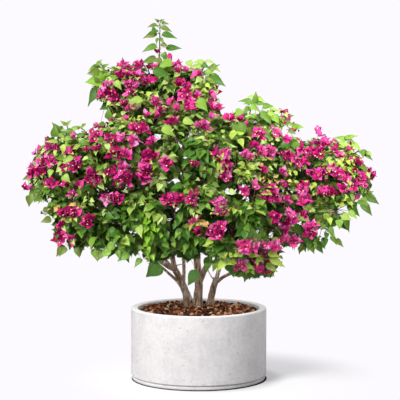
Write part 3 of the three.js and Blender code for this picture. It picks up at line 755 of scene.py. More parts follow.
# Patches of the crown in the picture: middle and half sizes in pixels.
bloomPatches = [
    (121, 68, 8, 5), (141, 67, 7, 4), (152, 67, 4, 4), (176, 69, 8, 7), (170, 57, 4, 4), (128, 77, 17, 6),
    (108, 94, 13, 11), (131, 90, 8, 10), (148, 82, 9, 8), (131, 110, 7, 6), (180, 85, 5, 8),
    (184, 95, 7, 7), (154, 104, 6, 6), (190, 108, 9, 9), (172, 125, 6, 7), (203, 129, 8, 7),
    (197, 75, 4, 4), (203, 83, 4, 4), (217, 92, 4, 4), (215, 110, 8, 5), (229, 121, 8, 7), (244, 118, 4, 4),
    (95, 125, 4, 4), (126, 122, 4, 3), (139, 131, 12, 8), (115, 141, 11, 9), (153, 144, 8, 6),
    (121, 155, 14, 8), (150, 158, 9, 8), (122, 174, 14, 13), (146, 173, 11, 12), (167, 166, 8, 7),
    (192, 166, 6, 6), (92, 177, 9, 9), (76, 165, 8, 8), (48, 162, 12, 6), (51, 149, 7, 5), (38, 153, 4, 4),
    (39, 173, 11, 9), (52, 184, 6, 6), (26, 189, 4, 4), (73, 196, 5, 5), (113, 200, 12, 10),
    (92, 138, 8, 5), (173, 200, 12, 10), (193, 198, 8, 8), (70, 215, 13, 8), (90, 222, 6, 9),
    (58, 239, 8, 7), (72, 238, 4, 4), (199, 231, 4, 5), (217, 233, 11, 7), (256, 135, 9, 6),
    (274, 134, 6, 5), (283, 138, 7, 6), (281, 111, 4, 4), (287, 123, 3, 3), (294, 138, 6, 6),
    (304, 142, 5, 4), (318, 133, 5, 5), (220, 156, 12, 7), (263, 153, 12, 8), (286, 158, 9, 6),
    (314, 155, 12, 7), (327, 146, 8, 6), (225, 174, 10, 11), (262, 172, 6, 5), (243, 193, 5, 6),
    (268, 196, 13, 11), (303, 165, 8, 5), (319, 175, 8, 7), (337, 176, 7, 7), (360, 181, 8, 8),
    (357, 165, 5, 6), (374, 176, 4, 5), (327, 193, 10, 8), (341, 189, 5, 5), (304, 199, 11, 11),
    (272, 220, 7, 7), (289, 222, 10, 12), (311, 230, 8, 9), (290, 241, 9, 7), (220, 209, 8, 10),
    (247, 245, 12, 10), (268, 244, 11, 9), (240, 263, 7, 8), (264, 266, 13, 11), (171, 103, 4, 5),
    (177, 110, 4, 5), (145, 116, 3, 3), (157, 118, 2, 4), (198, 97, 3, 6), (123, 105, 3, 3),
    (73, 133, 4, 3), (132, 142, 7, 5), (245, 157, 8, 4), (189, 90, 3, 3), (222, 101, 4, 3),
    (212, 119, 4, 3), (80, 185, 4, 3), (66, 185, 3, 3), (54, 226, 3, 4), (62, 225, 4, 4), (226, 164, 5, 4),
    (221, 226, 4, 5), (195, 222, 2, 4), (304, 215, 4, 7), (286, 202, 6, 4), (305, 187, 5, 3),
    (283, 187, 4, 3), (254, 187, 5, 4), (282, 173, 4, 4), (284, 230, 4, 6), (250, 125, 3, 3),
    (251, 146, 4, 3), (331, 169, 4, 3), (69, 152, 3, 3), (347, 150, 4, 3), (340, 157, 4, 4),
    (349, 164, 4, 3), (335, 151, 4, 3), (352, 173, 3, 4), (309, 142, 4, 4), (300, 152, 3, 3),
    (297, 166, 4, 4), (312, 175, 4, 3), (325, 176, 5, 4), (346, 180, 3, 3), (353, 187, 4, 4),
    (65, 168, 3, 3), (98, 181, 5, 5), (88, 150, 3, 3), (97, 150, 4, 3), (57, 150, 4, 4), (160, 111, 4, 5),
]
youngPatches = [
    (96, 64, 10, 6), (150, 95, 14, 7), (214, 66, 12, 7), (112, 119, 9, 7), (136, 122, 8, 5),
    (110, 131, 6, 6), (248, 163, 12, 6), (290, 171, 12, 8), (296, 178, 5, 8), (284, 181, 6, 6),
    (197, 212, 10, 5), (206, 221, 8, 8), (215, 211, 5, 5), (90, 194, 8, 6), (76, 203, 8, 5),
    (49, 211, 9, 9), (229, 255, 7, 9), (276, 256, 7, 9), (257, 257, 5, 4), (253, 100, 12, 6),
    (280, 117, 10, 6), (62, 125, 10, 6), (64, 168, 5, 6), (237, 172, 8, 8), (222, 262, 6, 9),
    (233, 250, 7, 5), (283, 262, 5, 8), (250, 266, 7, 5), (278, 250, 6, 4), (342, 163, 4, 3),
    (272, 146, 6, 4), (264, 186, 7, 4), (310, 184, 4, 3), (348, 194, 7, 5), (283, 128, 6, 4),
    (244, 138, 5, 6),
]
backlitPatches = [(150, 228, 8, 7), (163, 235, 6, 4), (148, 242, 4, 7)]
shadePatches = [
    (185, 145, 20, 16), (185, 250, 42, 38), (130, 222, 24, 14), (255, 222, 14, 16), (180, 180, 12, 9),
]
skyPatches = [  # where the background shows between the leaves
    (259, 109, 4, 3), (271, 236, 3, 3), (148, 72, 3, 2), (162, 59, 3, 4), (78, 133, 3, 1), (331, 214, 1, 3),
    (341, 217, 2, 3), (253, 124, 3, 2), (288, 132, 3, 3), (204, 77, 3, 2), (104, 238, 0.5, 1.5),
    (249, 112, 3, 2), (66, 242, 2, 2), (257, 231, 2, 2), (327, 233, 2, 2), (268, 260, 1, 3),
    (360, 200, 3, 2), (56, 134, 2, 2), (137, 244, 1, 1), (178, 259, 2, 5), (170, 272, 4, 5),
    (223, 271, 2, 6), (95, 223, 1, 2), (134, 233, 1, 1), (140, 253, 2, 1), (170, 219, 1, 1),
    (301, 244, 1, 2), (320, 234, 1, 2), (344, 209, 2, 2), (204, 258, 1, 2), (179, 144, 2, 3),
    (158, 139, 1, 2), (219, 148, 2, 2), (186, 159, 1, 1), (138, 159, 1, 1), (97, 210, 1, 1),
    (111, 227, 2, 2), (121, 226, 1, 1), (136, 221, 1, 1), (117, 245, 0.5, 2), (126, 247, 0.5, 1.5),
    (84, 242, 1, 2), (227, 233, 2, 1), (236, 223, 1, 1), (223, 248, 1, 1), (290, 231, 1, 1),
    (322, 215, 1, 1), (175, 182, 1, 1),
]
patchShape = {  # areas in pixels of the picture, the rest in mm
    "bloomArea": 40, "youngArea": 45, "backlitArea": 60, "flowerArea": 5.8, "spreadPerPixel": 3.7,
    "spreadLess": 12, "leastSpread": 4, "bloomStand": 6, "youngStand": 10, "backlitStand": 10, "inRow": 3,
    "rowShare": 0.65, "diskShare": 0.75,
}
# The outline of the crown in the picture, clockwise from its left end; only single shoots stand out of it.
crownOutline = np.array([
    (21, 188), (24, 171), (32, 151), (44, 137), (59, 124), (67, 122), (74, 128), (87, 128), (95, 121),
    (104, 118), (107, 112), (99, 107), (92, 98), (93, 84), (97, 68), (112, 61), (135, 59), (150, 58),
    (172, 57), (190, 63), (205, 63), (214, 68), (220, 83), (222, 96), (229, 107), (240, 108), (247, 99),
    (256, 97), (268, 105), (290, 116), (289, 124), (298, 134), (308, 138), (317, 131), (335, 136),
    (352, 141), (366, 157), (376, 177), (372, 198), (361, 208), (350, 217), (337, 228), (328, 240),
    (317, 248), (301, 252), (285, 252), (284, 264), (277, 279), (256, 284), (238, 281), (223, 273),
    (214, 262), (190, 264), (165, 262), (148, 268), (138, 262), (120, 257), (100, 254), (78, 254),
    (60, 252), (52, 239), (48, 222), (40, 208), (28, 199),
], float)


def inOutline(points, margin):
    u, v = pictureOf(points)
    seen = np.stack([u, v], 1)
    inside = np.zeros(len(seen), bool)
    gap = np.full(len(seen), np.inf)
    for start, end in zip(crownOutline, np.roll(crownOutline, -1, 0)):
        way = end - start
        crosses = (start[1] > v) != (end[1] > v)
        if way[1]:
            inside ^= crosses & (u < start[0] + way[0] * (v - start[1]) / way[1])
        along = np.clip((seen - start) @ way / (way @ way), 0, 1)
        gap = np.minimum(gap, np.linalg.norm(seen - start - along[:, None] * way, axis=1))
    ragged = 0.5 + 0.5 * np.sin(0.5 * u + 2 * np.sin(0.23 * v)) * np.cos(0.45 * v + 1)  # between 0 and 1
    return inside & (gap >= margin + outsideShape["ragged"] * ragged)


def inPatches(patches, points, wider=0):
    u, v = (k[:, None] for k in pictureOf(points))
    a, b, c, d = np.array(patches, float).T
    return (((u - a) / (c + wider)) ** 2 + ((v - b) / (d + wider)) ** 2 <= 1).any(1)


def crownField(points):  # above 1 within the melted outline of all masses
    s = outsideShape
    total = np.zeros(len(points))
    for space in spaces:
        far = np.sqrt((((points - space.centre) / (space.trueRadii * s["size"])) ** 2).sum(1))
        total += np.exp(s["melt"] * (1 - far))
    return total


def slopeAt(place):  # the way out of the crown
    steps = np.eye(3) * outsideShape["slopeStep"]
    field = crownField(np.array(place) + np.concatenate([steps, -steps]))
    return Vector(field[3:] - field[:3]).normalized()


def seededRandom(state):  # a repeatable run of numbers from 0 to 1, the same as in the solids
    while True:
        state = (state * 1664525 + 1013904223) % 2 ** 32
        yield state / 2 ** 32


def evenDirection(k, count, turned=0):  # the k-th of directions that are spread evenly over a sphere
    height = 1 - 2 * (k + 0.5) / count
    ring, around = math.sqrt(1 - height * height), k * goldenAngle + turned
    return Vector((ring * math.cos(around), ring * math.sin(around), height))


def tapered(line, shares, radii):  # places along a line and the radii there
    return [line.at(t) for t in shares], [radii[0] + (radii[1] - radii[0]) * t for t in shares]


class Crown:  # the twigs, leaves and flowers of one mass
    def __init__(self, index, tip):
        s = growthShape
        self.name, centre, *_rest, self.twigs, self.blossom = masses[index]
        self.space, self.middle = spaces[index], Vector(centre)
        self.entry, self.goal = tip
        self.draws = seededRandom(s["drawSeed"] + s["drawSeedStep"] * index)
        self.dice = random.Random(s["diceSeed"] + index)
        self.leaves, self.bracts = Blades(leafShape), Blades(bractShape)
        self.rods, self.tubes = Rods(), Rods()
        self.mainTwigs, self.shoots = [], []
        self.proposed = []  # leaves and flowers, kept once their places are tested

    def allows(self, points, margin=0):  # the margin to the outline is in pixels of the picture
        s = outsideShape
        points = np.array([tuple(p) for p in points])
        good = crownField(points) > s["edge"]
        good &= (points @ self.space.normals.T <= self.space.limits + s["neighbourEase"]).all(1)
        good &= ((points > boxLow - s["sideRoom"]) & (points < boxHigh + s["sideRoom"])).all(1)
        good &= inOutline(points, margin) & ~inPatches(skyPatches, points, s["skyRoom"])
        for number in np.nonzero(good)[0]:
            good[number] = woodTree.find(points[number])[2] > s["woodGap"]
        return good

    def wander(self, size):
        return Vector([self.dice.uniform(-size, size) for _ in range(3)])

    def within(self, direction, shares):  # places on the way from the middle to the end of the mass
        rim = self.middle + Vector([d * r for d, r in zip(direction, self.space.radii)])
        reach = self.space.reach(rim)
        return [self.middle.lerp(rim, reach * share) for share in shares]

    def growTwigs(self):
        s = growthShape
        foot = self.entry + self.goal * fitGap
        top = self.middle + self.goal * self.space.mean * s["sprigPastMiddle"]
        self.rods.add([foot, (foot + top) / 2 + self.wander(4), top], s["sprigRadii"], 6)
        onward = (top - foot).normalized()
        for k in range(self.twigs):
            direction = evenDirection(k, self.twigs, next(self.draws) * s["twigWander"])
            next(self.draws)
            start = foot.lerp(top, s["twigsMiddle"] + s["twigsSpread"] * direction.dot(onward))
            ends = self.within(direction, s["twigEnds"])
            fits = self.allows(ends, 2 * s["outlineMargin"])
            goal = ends[int(fits.argmax()) if fits.any() else -1]
            line = Line([start, start.lerp(goal, 0.5) + self.wander(9) + up * s["twigBow"], goal])
            self.rods.add(*tapered(line, s["twigSteps"], s["twigRadii"]), 5)
            self.mainTwigs.append(line)

    # The twig point that a spray at this place grows from, or the point of a standing shoot beside it.
    def hostOf(self, place):
        s = growthShape
        for line in self.shoots:
            for share in s["shootHosts"]:
                root = line.at(share)
                if (place - root).length < s["shootNear"]:
                    return root, line.along(share)
        hosts = [(line, share) for line in self.mainTwigs for share in s["twigHosts"]]
        line, share = min(hosts, key=lambda h: (place - h[0].at(h[1])).length + s["hostOutward"] * h[1])
        return line.at(share), line.along(share)

    def kindAt(self, place):
        s = backShape
        slope = slopeAt(place)
        if place.y < s["from"] and slope.y < s["facing"]:
            return "shade" if inPatches(shadePatches, place)[0] else "leaf"
        if slope.z < s["under"]:
            return "leaf"
        clump = noise.noise(place * s["clumps"]) * 0.5 + 0.5
        if clump + self.dice.uniform(-s["stray"], s["stray"]) > 1 - self.blossom * s["blossom"]:
            return "bloom"
        return "young" if self.dice.random() < s["young"] and place.z > s["youngAbove"] else "leaf"

    def leafTone(self, kind, place):
        s = toneShape
        roll = self.dice.random()
        if kind == "young" and place.x > s["youngRight"]:
            kind = "youngRight"
        elif kind in ("leaf", "bloom"):
            stray = self.dice.uniform(-s["leafStray"], s["leafStray"])
            height = (place.z - s["leafFoot"]) / s["leafSpan"] + stray
            if abs(place.x) > s["paleFrom"] and place.z > s["paleAbove"]:  # both sides have paler leaves
                height += s["paler"]
            if place.z < s["darkBelow"]:  # and the underside has darker ones, painted shade under the crown
                height -= s["darker"]
            kind = "low" if height < s["lowMost"] else "middle" if height < s["middleMost"] else "high"
        return next(tone for share, tone in leafMixes[kind] if roll < share)

    def addBlade(self, root, forward, upper, length, width, droop, tone, exact=False):
        number, most = toneNumber[tone], toneNumber["pale"]
        if not exact and number <= most:  # leaves of one spray differ a little
            number = min(most, max(0, number + self.dice.choice(leafShape["toneSteps"])))
        self.leaves.add(root, forward, upper, length, width, droop, self.dice.uniform(-1, 1), number)

    def addFlower(self, root, axis, tone, scale):
        s, dice = bractShape, self.dice
        axis = axis.normalized()
        side = axis.orthogonal().normalized()
        spin = dice.uniform(0, fullTurn)
        opening = dice.uniform(*s["opening"])
        most = paintedLightBract if tone == paintedLightBract else paintedLightBract - 1
        for k in range(3):
            turned = spin + k * fullTurn / 3 + dice.uniform(-s["turn"], s["turn"])
            out = Matrix.Rotation(turned, 3, axis) @ side
            angle = opening + dice.uniform(-s["lean"], s["lean"])
            forward = axis * math.cos(angle) + out * math.sin(angle)
            upper = axis * math.sin(angle) - out * math.cos(angle)
            length = s["length"] * scale * dice.uniform(*s["lengthRange"])
            shade = min(most, max(0, tone + dice.choice(s["toneSteps"])))
            width = s["width"] * scale * dice.uniform(*s["widthRange"])
            bend = dice.uniform(*s["droop"]), dice.uniform(-1, 1)
            self.bracts.add(root + out * s["rootOut"], forward, upper, length, width, *bend, shade)
            if k == 0 and dice.random() < s["tubeShare"]:
                base = root + out * s["tubeOut"]
                lean = (axis + out * s["tubeLean"]).normalized()
                end = base + lean * s["tubeLength"] * scale * dice.uniform(*s["tubeRange"])
                self.tubes.add([base, end], [s["tubeRadius"], s["tubeRadius"] * 1.2], 4, 0)
                star = end + lean * s["starHeight"]
                self.tubes.add([end, star], [s["tubeRadius"], s["starRadius"] * scale], 5, 1)

    # Leaves to the left and right of a shoot, their faces outward, their tips drooping.
    def leafShoot(self, line, shares, size, outward, tone, tested=True):
        s, dice = leafShape, self.dice
        for k, share in enumerate(shares):
            foot, axis = line.at(share), line.along(share)
            across = axis.cross(up)
            if across.length < 0.25:  # the shoot stands nearly upright
                across = axis.cross(outward + Vector((0.3, 0.1, 0)))
            side = across.normalized() * (1 if k % 2 else -1)
            side = Matrix.Rotation(dice.uniform(-s["turn"], s["turn"]), 3, axis) @ side
            hang = dice.uniform(*s["hang"]) + max(0, -outward.z) * s["hangUnder"]
            if not tested:  # on a standing shoot the leaves hang to both sides
                direction = axis * 0.2 + side * 0.9 - up * 0.15
            elif share > s["lastFrom"]:
                direction = axis + side * 0.15
            else:
                direction = axis * 0.5 + side * 0.85
            direction = (direction + outward * 0.3 - up * hang + self.wander(s["stray"])).normalized()
            upper = (up * 0.4 + outward * 0.95 + self.wander(s["upperStray"])).normalized()
            if abs(direction.dot(upper)) > s["edgeOn"]:
                upper = (outward + self.wander(0.3)).normalized()
            leafRoot = foot + direction * s["stalk"] * dice.uniform(*s["stalkRange"])
            length = size * (1 - s["tipShorter"] * share ** 3) * dice.uniform(*s["lengthRange"])
            width = length * dice.uniform(*s["ratio"])
            leaf = (leafRoot, direction, upper, length, width, dice.uniform(*s["droop"]), tone)
            stalk = ([foot, leafRoot + direction * length * 0.04], s["stalkRadii"], 3, 1)
            if tested:
                tests = [leafRoot + direction * length * t for t in (0.5, 0.95)]
                self.proposed.append((tests, self.addBlade, leaf, stalk))
            else:
                self.addBlade(*leaf)
                self.rods.add(*stalk)

    def growSpray(self, place, outward, kind, inner=False, flowers=None, spread=14):
        s, dice = growthShape, self.dice
        root, heading = self.hostOf(place)
        drawnIn = [root.lerp(place, share) for share in s["drawnIn"]]
        fits = self.allows(drawnIn, s["outlineMargin"])
        if not fits.any():
            return
        place = drawnIn[int(fits.argmax())]
        reach = (place - root).length
        line = Line([root, root.lerp(place, 0.5) + (heading * 0.16 + up * 0.08) * reach, place])
        bark = {"young": 1, "bloom": 2}.get(kind, 0)
        self.rods.add(*tapered(line, s["sideSteps"], s["sideRadii"]), 3, bark)
        count = dice.randint(*s["innerLeaves" if inner else "leaves"])
        sizeKind = "low" if kind == "leaf" and place.z < s["lowLeaves"] else kind
        size = dice.uniform(*s["leafLength"]) * s["leafSizes"].get(sizeKind, 1)
        if kind == "bloom":
            count = dice.randint(*s["bloomLeaves"])
        span = min(1, s["leafyEnd"] / max(reach, 1))  # the leafy end of the twig
        young = kind == "bloom" and dice.random() < s["youngByBloom"]
        tone = self.leafTone("young" if young else kind, place)
        first = 0.25 if kind == "bloom" else 0
        self.leafShoot(line, [1 - span * (k + first) / count for k in range(count)], size, outward, tone)
        if kind == "bloom":
            flowers = flowers or dice.randint(*s["flowers"])
            self.growCluster(place, outward, line.at(s["neck"]), flowers, spread)

    def growCluster(self, place, outward, neck, flowers, spread):
        s, t, dice = growthShape, toneShape, self.dice
        shade = 2 if dice.random() < t["magenta"] else 3 if dice.random() < t["bright"] else 1
        # painted light: the truss that hangs low at the right, in the crown's shade, gets the palest bracts
        if place.x > t["truss"][0] and place.z < t["truss"][1]:
            shade = paintedLightBract
        # painted shade: bracts low, at the low left or facing down are a tone darker
        elif (
            place.x < t["deepLeft"][0] and place.z < t["deepLeft"][1]
            or place.z < t["deepBelow"] or outward.z < t["deepUnder"]
        ):
            shade = max(0, shade - 1)
        elif place.x > t["roseRight"][0] and dice.random() < t["roseRight"][1]:
            shade += 1
        facing = (outward + up * 0.55).normalized()
        spin = dice.uniform(0, fullTurn)
        for k in range(flowers):  # they stand round the end of the shoot as on a small dome
            tilt = math.sqrt((k + 0.4) / flowers) * s["dome"]
            side = Matrix.Rotation(spin + k * goldenAngle, 3, facing) @ facing.orthogonal().normalized()
            offset = facing * math.cos(tilt) + side * math.sin(tilt)
            root = place + offset * spread * dice.uniform(*s["flowerSpread"]) - facing * s["flowerDepth"]
            axis = (offset * 0.75 + facing * 0.4 + up * 0.45 + self.wander(0.4)).normalized()
            flower = (root, axis, shade, dice.uniform(*s["flowerSize"]))
            tests = [root, root + axis * s["flowerReach"]]
            self.proposed.append((tests, self.addFlower, flower, ([neck, root], (0.6, 0.7), 3, 2)))

    def settle(self):
        tests = [point for tests, *_ in self.proposed for point in tests]
        for fits, (_, add, values, stalk) in zip(self.allows(tests).reshape(-1, 2).all(1), self.proposed):
            if fits:
                add(*values)
                self.rods.add(*stalk)

    # One leaf between two places of the picture, at a given depth, on a stalk of its own.
    def placeLeaf(self, foot, tip, depth, share, tone):
        base, end = placeOf(*foot, depth), placeOf(*tip, depth - 15)
        length = (end - base).length * 1.05
        forward = (end - base).normalized() + up * 0.22
        upper = Vector((-0.2, -1.05, 0.4)) + self.wander(0.25)
        self.addBlade(base, forward, upper, length, length * share, 0.7, tone, exact=True)
        root, _ = self.hostOf(base)
        self.rods.add([root, root.lerp(base, 0.5) + up * 2, base + forward * 2], (1.1, 0.9, 0.7), 3, 1)

    def growInside(self):
        s, count = growthShape, outsideShape["innerSprays"]
        for k in range(count):
            direction = evenDirection(k, count)
            place, = self.within(direction, [self.dice.uniform(*s["innerReach"])])
            kind = "shade" if self.dice.random() < s["innerShade"] else "leaf"
            self.growSpray(place, direction, kind, inner=True)

    def finishPieces(self):
        self.settle()
        leaves = self.leaves.piece(f"leaves_{self.name}", leafFinishes)
        node = f"foliage_{self.name}"
        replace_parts(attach(leaves, "root"), node)
        twigs = self.rods.piece(f"twigs_{self.name}", twigFinishes)
        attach(twigs, "root")
        made = [leaves, twigs]
        if self.bracts.rows:
            bloom = self.bracts.piece(f"bracts_{self.name}", bractFinishes)
            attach(bloom, "root")
            flowers = self.tubes.piece(f"flowers_{self.name}", tubeFinishes)
            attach(flowers, "root")
            made += [bloom, flowers]
        return sum(len(piece.data.polygons) * 2 for piece in made)


def frontPlace(u, v):  # where the crown begins behind a pixel of the picture
    depths = np.arange(*outsideShape["depths"])
    near, far = placeOf(u, v, depths[0]), placeOf(u, v, depths[-1])
    shares = (depths - depths[0]) / (depths[-1] - depths[0])
    points = np.array(near) + (np.array(far) - np.array(near)) * shares[:, None]
    field = crownField(points)
    return Vector(points[int((field > 1).argmax() if (field > 1).any() else field.argmax())])


def ownerOf(place):  # the crown whose room it is
    point = np.array(place)
    return crowns[int(np.argmin([float((space.normals @ point - space.limits).max()) for space in spaces]))]


# The patches of blossom and young growth: each gets its shoots, at its own place on the front of the crown.
def plantPatches():
    p = patchShape
    planted = []
    for kind, patches in (("bloom", bloomPatches), ("young", youngPatches), ("backlit", backlitPatches)):
        for u, v, halfWidth, halfHeight in patches:
            area = halfWidth * halfHeight
            shoots = max(1, round(area / p[f"{kind}Area"]))
            flowers = max(2, round(area / p["flowerArea"] / shoots))
            spread = max(p["leastSpread"], math.sqrt(area / shoots) * p["spreadPerPixel"] - p["spreadLess"])
            for k in range(shoots):
                if shoots <= p["inRow"]:
                    along = ((k + 0.5) / shoots * 2 - 1) * p["rowShare"]
                    du, dv = (along, 0) if halfWidth > halfHeight else (0, along)
                else:
                    far, turn = math.sqrt((k + 0.5) / shoots) * p["diskShare"], k * goldenAngle
                    du, dv = far * math.cos(turn), far * math.sin(turn)
                place = frontPlace(u + du * halfWidth, v + dv * halfHeight)
                outward = slopeAt(place)
                goal = place + outward * p[f"{kind}Stand"]
                ownerOf(place).growSpray(goal, outward, kind, flowers=flowers, spread=spread)
                planted.append(place)
    return planted


# Places all over the outside of the crown, a set distance apart, each with the mass that it belongs to.
def outsidePlaces(planted):
    s = outsideShape
    count, steps = s["directions"], np.arange(*s["rays"])
    k = np.arange(count)
    height = 1 - 2 * (k + 0.5) / count
    ring, around = np.sqrt(1 - height ** 2), k * goldenAngle
    direction = np.stack([ring * np.cos(around), ring * np.sin(around), height], 1)
    found = []
    for index, space in enumerate(spaces):
        rays = space.centre + direction[:, None, :] * space.trueRadii * steps[:, None]
        flat = rays.reshape(-1, 3)
        within = (crownField(flat) > 1).reshape(count, -1)
        own = (flat @ space.normals.T <= space.limits).all(1).reshape(count, -1)
        ends = np.where(within.all(1), len(steps) - 1, within.argmin(1))
        leaves = np.where(own.all(1), len(steps), own.argmin(1))
        found += [(index, rays[number, ends[number]]) for number in np.nonzero(ends < leaves)[0]]
    random.Random(s["seed"]).shuffle(found)

    def cellOf(place):
        return tuple(int(math.floor(c / s["backGap"])) for c in place)

    taken, kept = {}, []
    for place in planted:
        taken.setdefault(cellOf(place), []).append(place)
    for index, spot in found:
        place = Vector(spot)
        kind = crowns[index].kindAt(place)
        gap = s["bloomGap"] if kind == "bloom" else s["frontGap"] if place.y < s["front"] else s["backGap"]
        home = cellOf(place)
        near = (
            other for dx in (-1, 0, 1) for dy in (-1, 0, 1) for dz in (-1, 0, 1)
            for other in taken.get((home[0] + dx, home[1] + dy, home[2] + dz), ())
        )
        if all((other - place).length > gap for other in near):
            taken.setdefault(home, []).append(place)
            kept.append((index, place, kind))
    return kept


# Shoots, leaves and flowers that stand out of the crown, by their places in the picture, and by their masses.
heroShoots = {  # way through the picture, depth, places of the leaves, leaf length, tone
    "crown_top": [([(160, 78), (159.6, 50), (160, 23)], -10, (0.98, 1.0), 20, "olive")],
    "crown_top_left": [
        ([(112, 80), (103, 70), (97, 64)], -60, (0.4, 0.55, 0.7, 0.85, 0.95, 1.0), 42, "deep"),
        ([(108, 74), (102, 66), (100, 62)], -75, (0.5, 0.75, 1.0), 36, "mid"),
    ],
    "crown_top_right": [
        ([(196, 90), (201, 76), (205, 61)], -70, (), 42, "lime"),
        ([(190, 82), (195, 72), (198, 66)], -70, (0.5, 0.75, 1.0), 38, "mid"),
    ],
    "shoulder_right": [
        ([(249, 126), (251, 108), (254.5, 97)], -85, (), 38, "mid"),
        ([(266, 118), (277, 110), (288, 112)], -80, (0.4, 0.55, 0.7, 0.85, 1.0), 36, "mid"),
        ([(272, 124), (286, 120), (296, 127)], -80, (0.4, 0.55, 0.7, 0.85, 1.0), 36, "green"),
    ],
    "lobe_left": [
        ([(76, 146), (70, 134), (66, 124)], -90, (0.4,), 30, "mid"),
        ([(88, 136), (81, 128), (76, 126)], -90, (0.4, 0.6, 0.8, 1.0), 34, "mid"),
        ([(46, 160), (41, 151), (39, 147)], -90, (0.5, 0.7, 0.85, 1.0), 34, "mid"),
        ([(46, 178), (36, 178), (29, 184)], -90, (0.4,), 34, "green"),
    ],
    "skirt_left": [([(66, 205), (52, 207), (44, 212)], -120, (0.3, 0.5, 0.7, 0.85, 1.0), 40, "mid")],
    "lobe_right": [
        ([(334, 150), (344, 141), (352, 139)], -90, (0.3, 0.45, 0.6, 0.75, 0.9, 1.0), 36, "green"),
        ([(352, 156), (361, 150), (367, 154)], -90, (0.4, 0.55, 0.7, 0.85, 1.0), 42, "green"),
        ([(352, 188), (360, 190), (367, 195)], -90, (0.4, 0.7), 40, "green"),
    ],
    "skirt_right": [
        ([(340, 203), (350, 202), (361, 203)], -120, (0.3, 0.6), 46, "green"),
        ([(332, 212), (338, 215), (344, 213)], -120, (0.3,), 44, "deep"),
        ([(322, 226), (329, 231), (335, 239)], -120, (0.3, 0.6), 30, "mid"),
        ([(306, 236), (311, 241), (317, 245)], -120, (0.4, 0.7), 36, "green"),
        ([(290, 240), (297, 242), (303, 242)], -120, (0.4, 0.7), 36, "green"),
    ],
    "centre_low_left": [
        ([(158, 240), (155, 228), (152, 222)], -300, (0.2, 0.4, 0.6, 0.8, 1.0), 34, "bright"),
    ],
    "truss_low_right": [
        ([(240, 246), (231, 253), (223, 260)], -310, (0.3, 0.5, 0.65, 0.8, 0.9, 1.0), 44, "lime"),
        ([(258, 250), (270, 254), (280, 260)], -310, (0.3, 0.5, 0.65, 0.8, 0.9, 1.0), 44, "mid"),
        ([(246, 250), (249, 260), (250, 268)], -320, (0.3, 0.6, 0.8, 1.0), 46, "lime"),
    ],
}
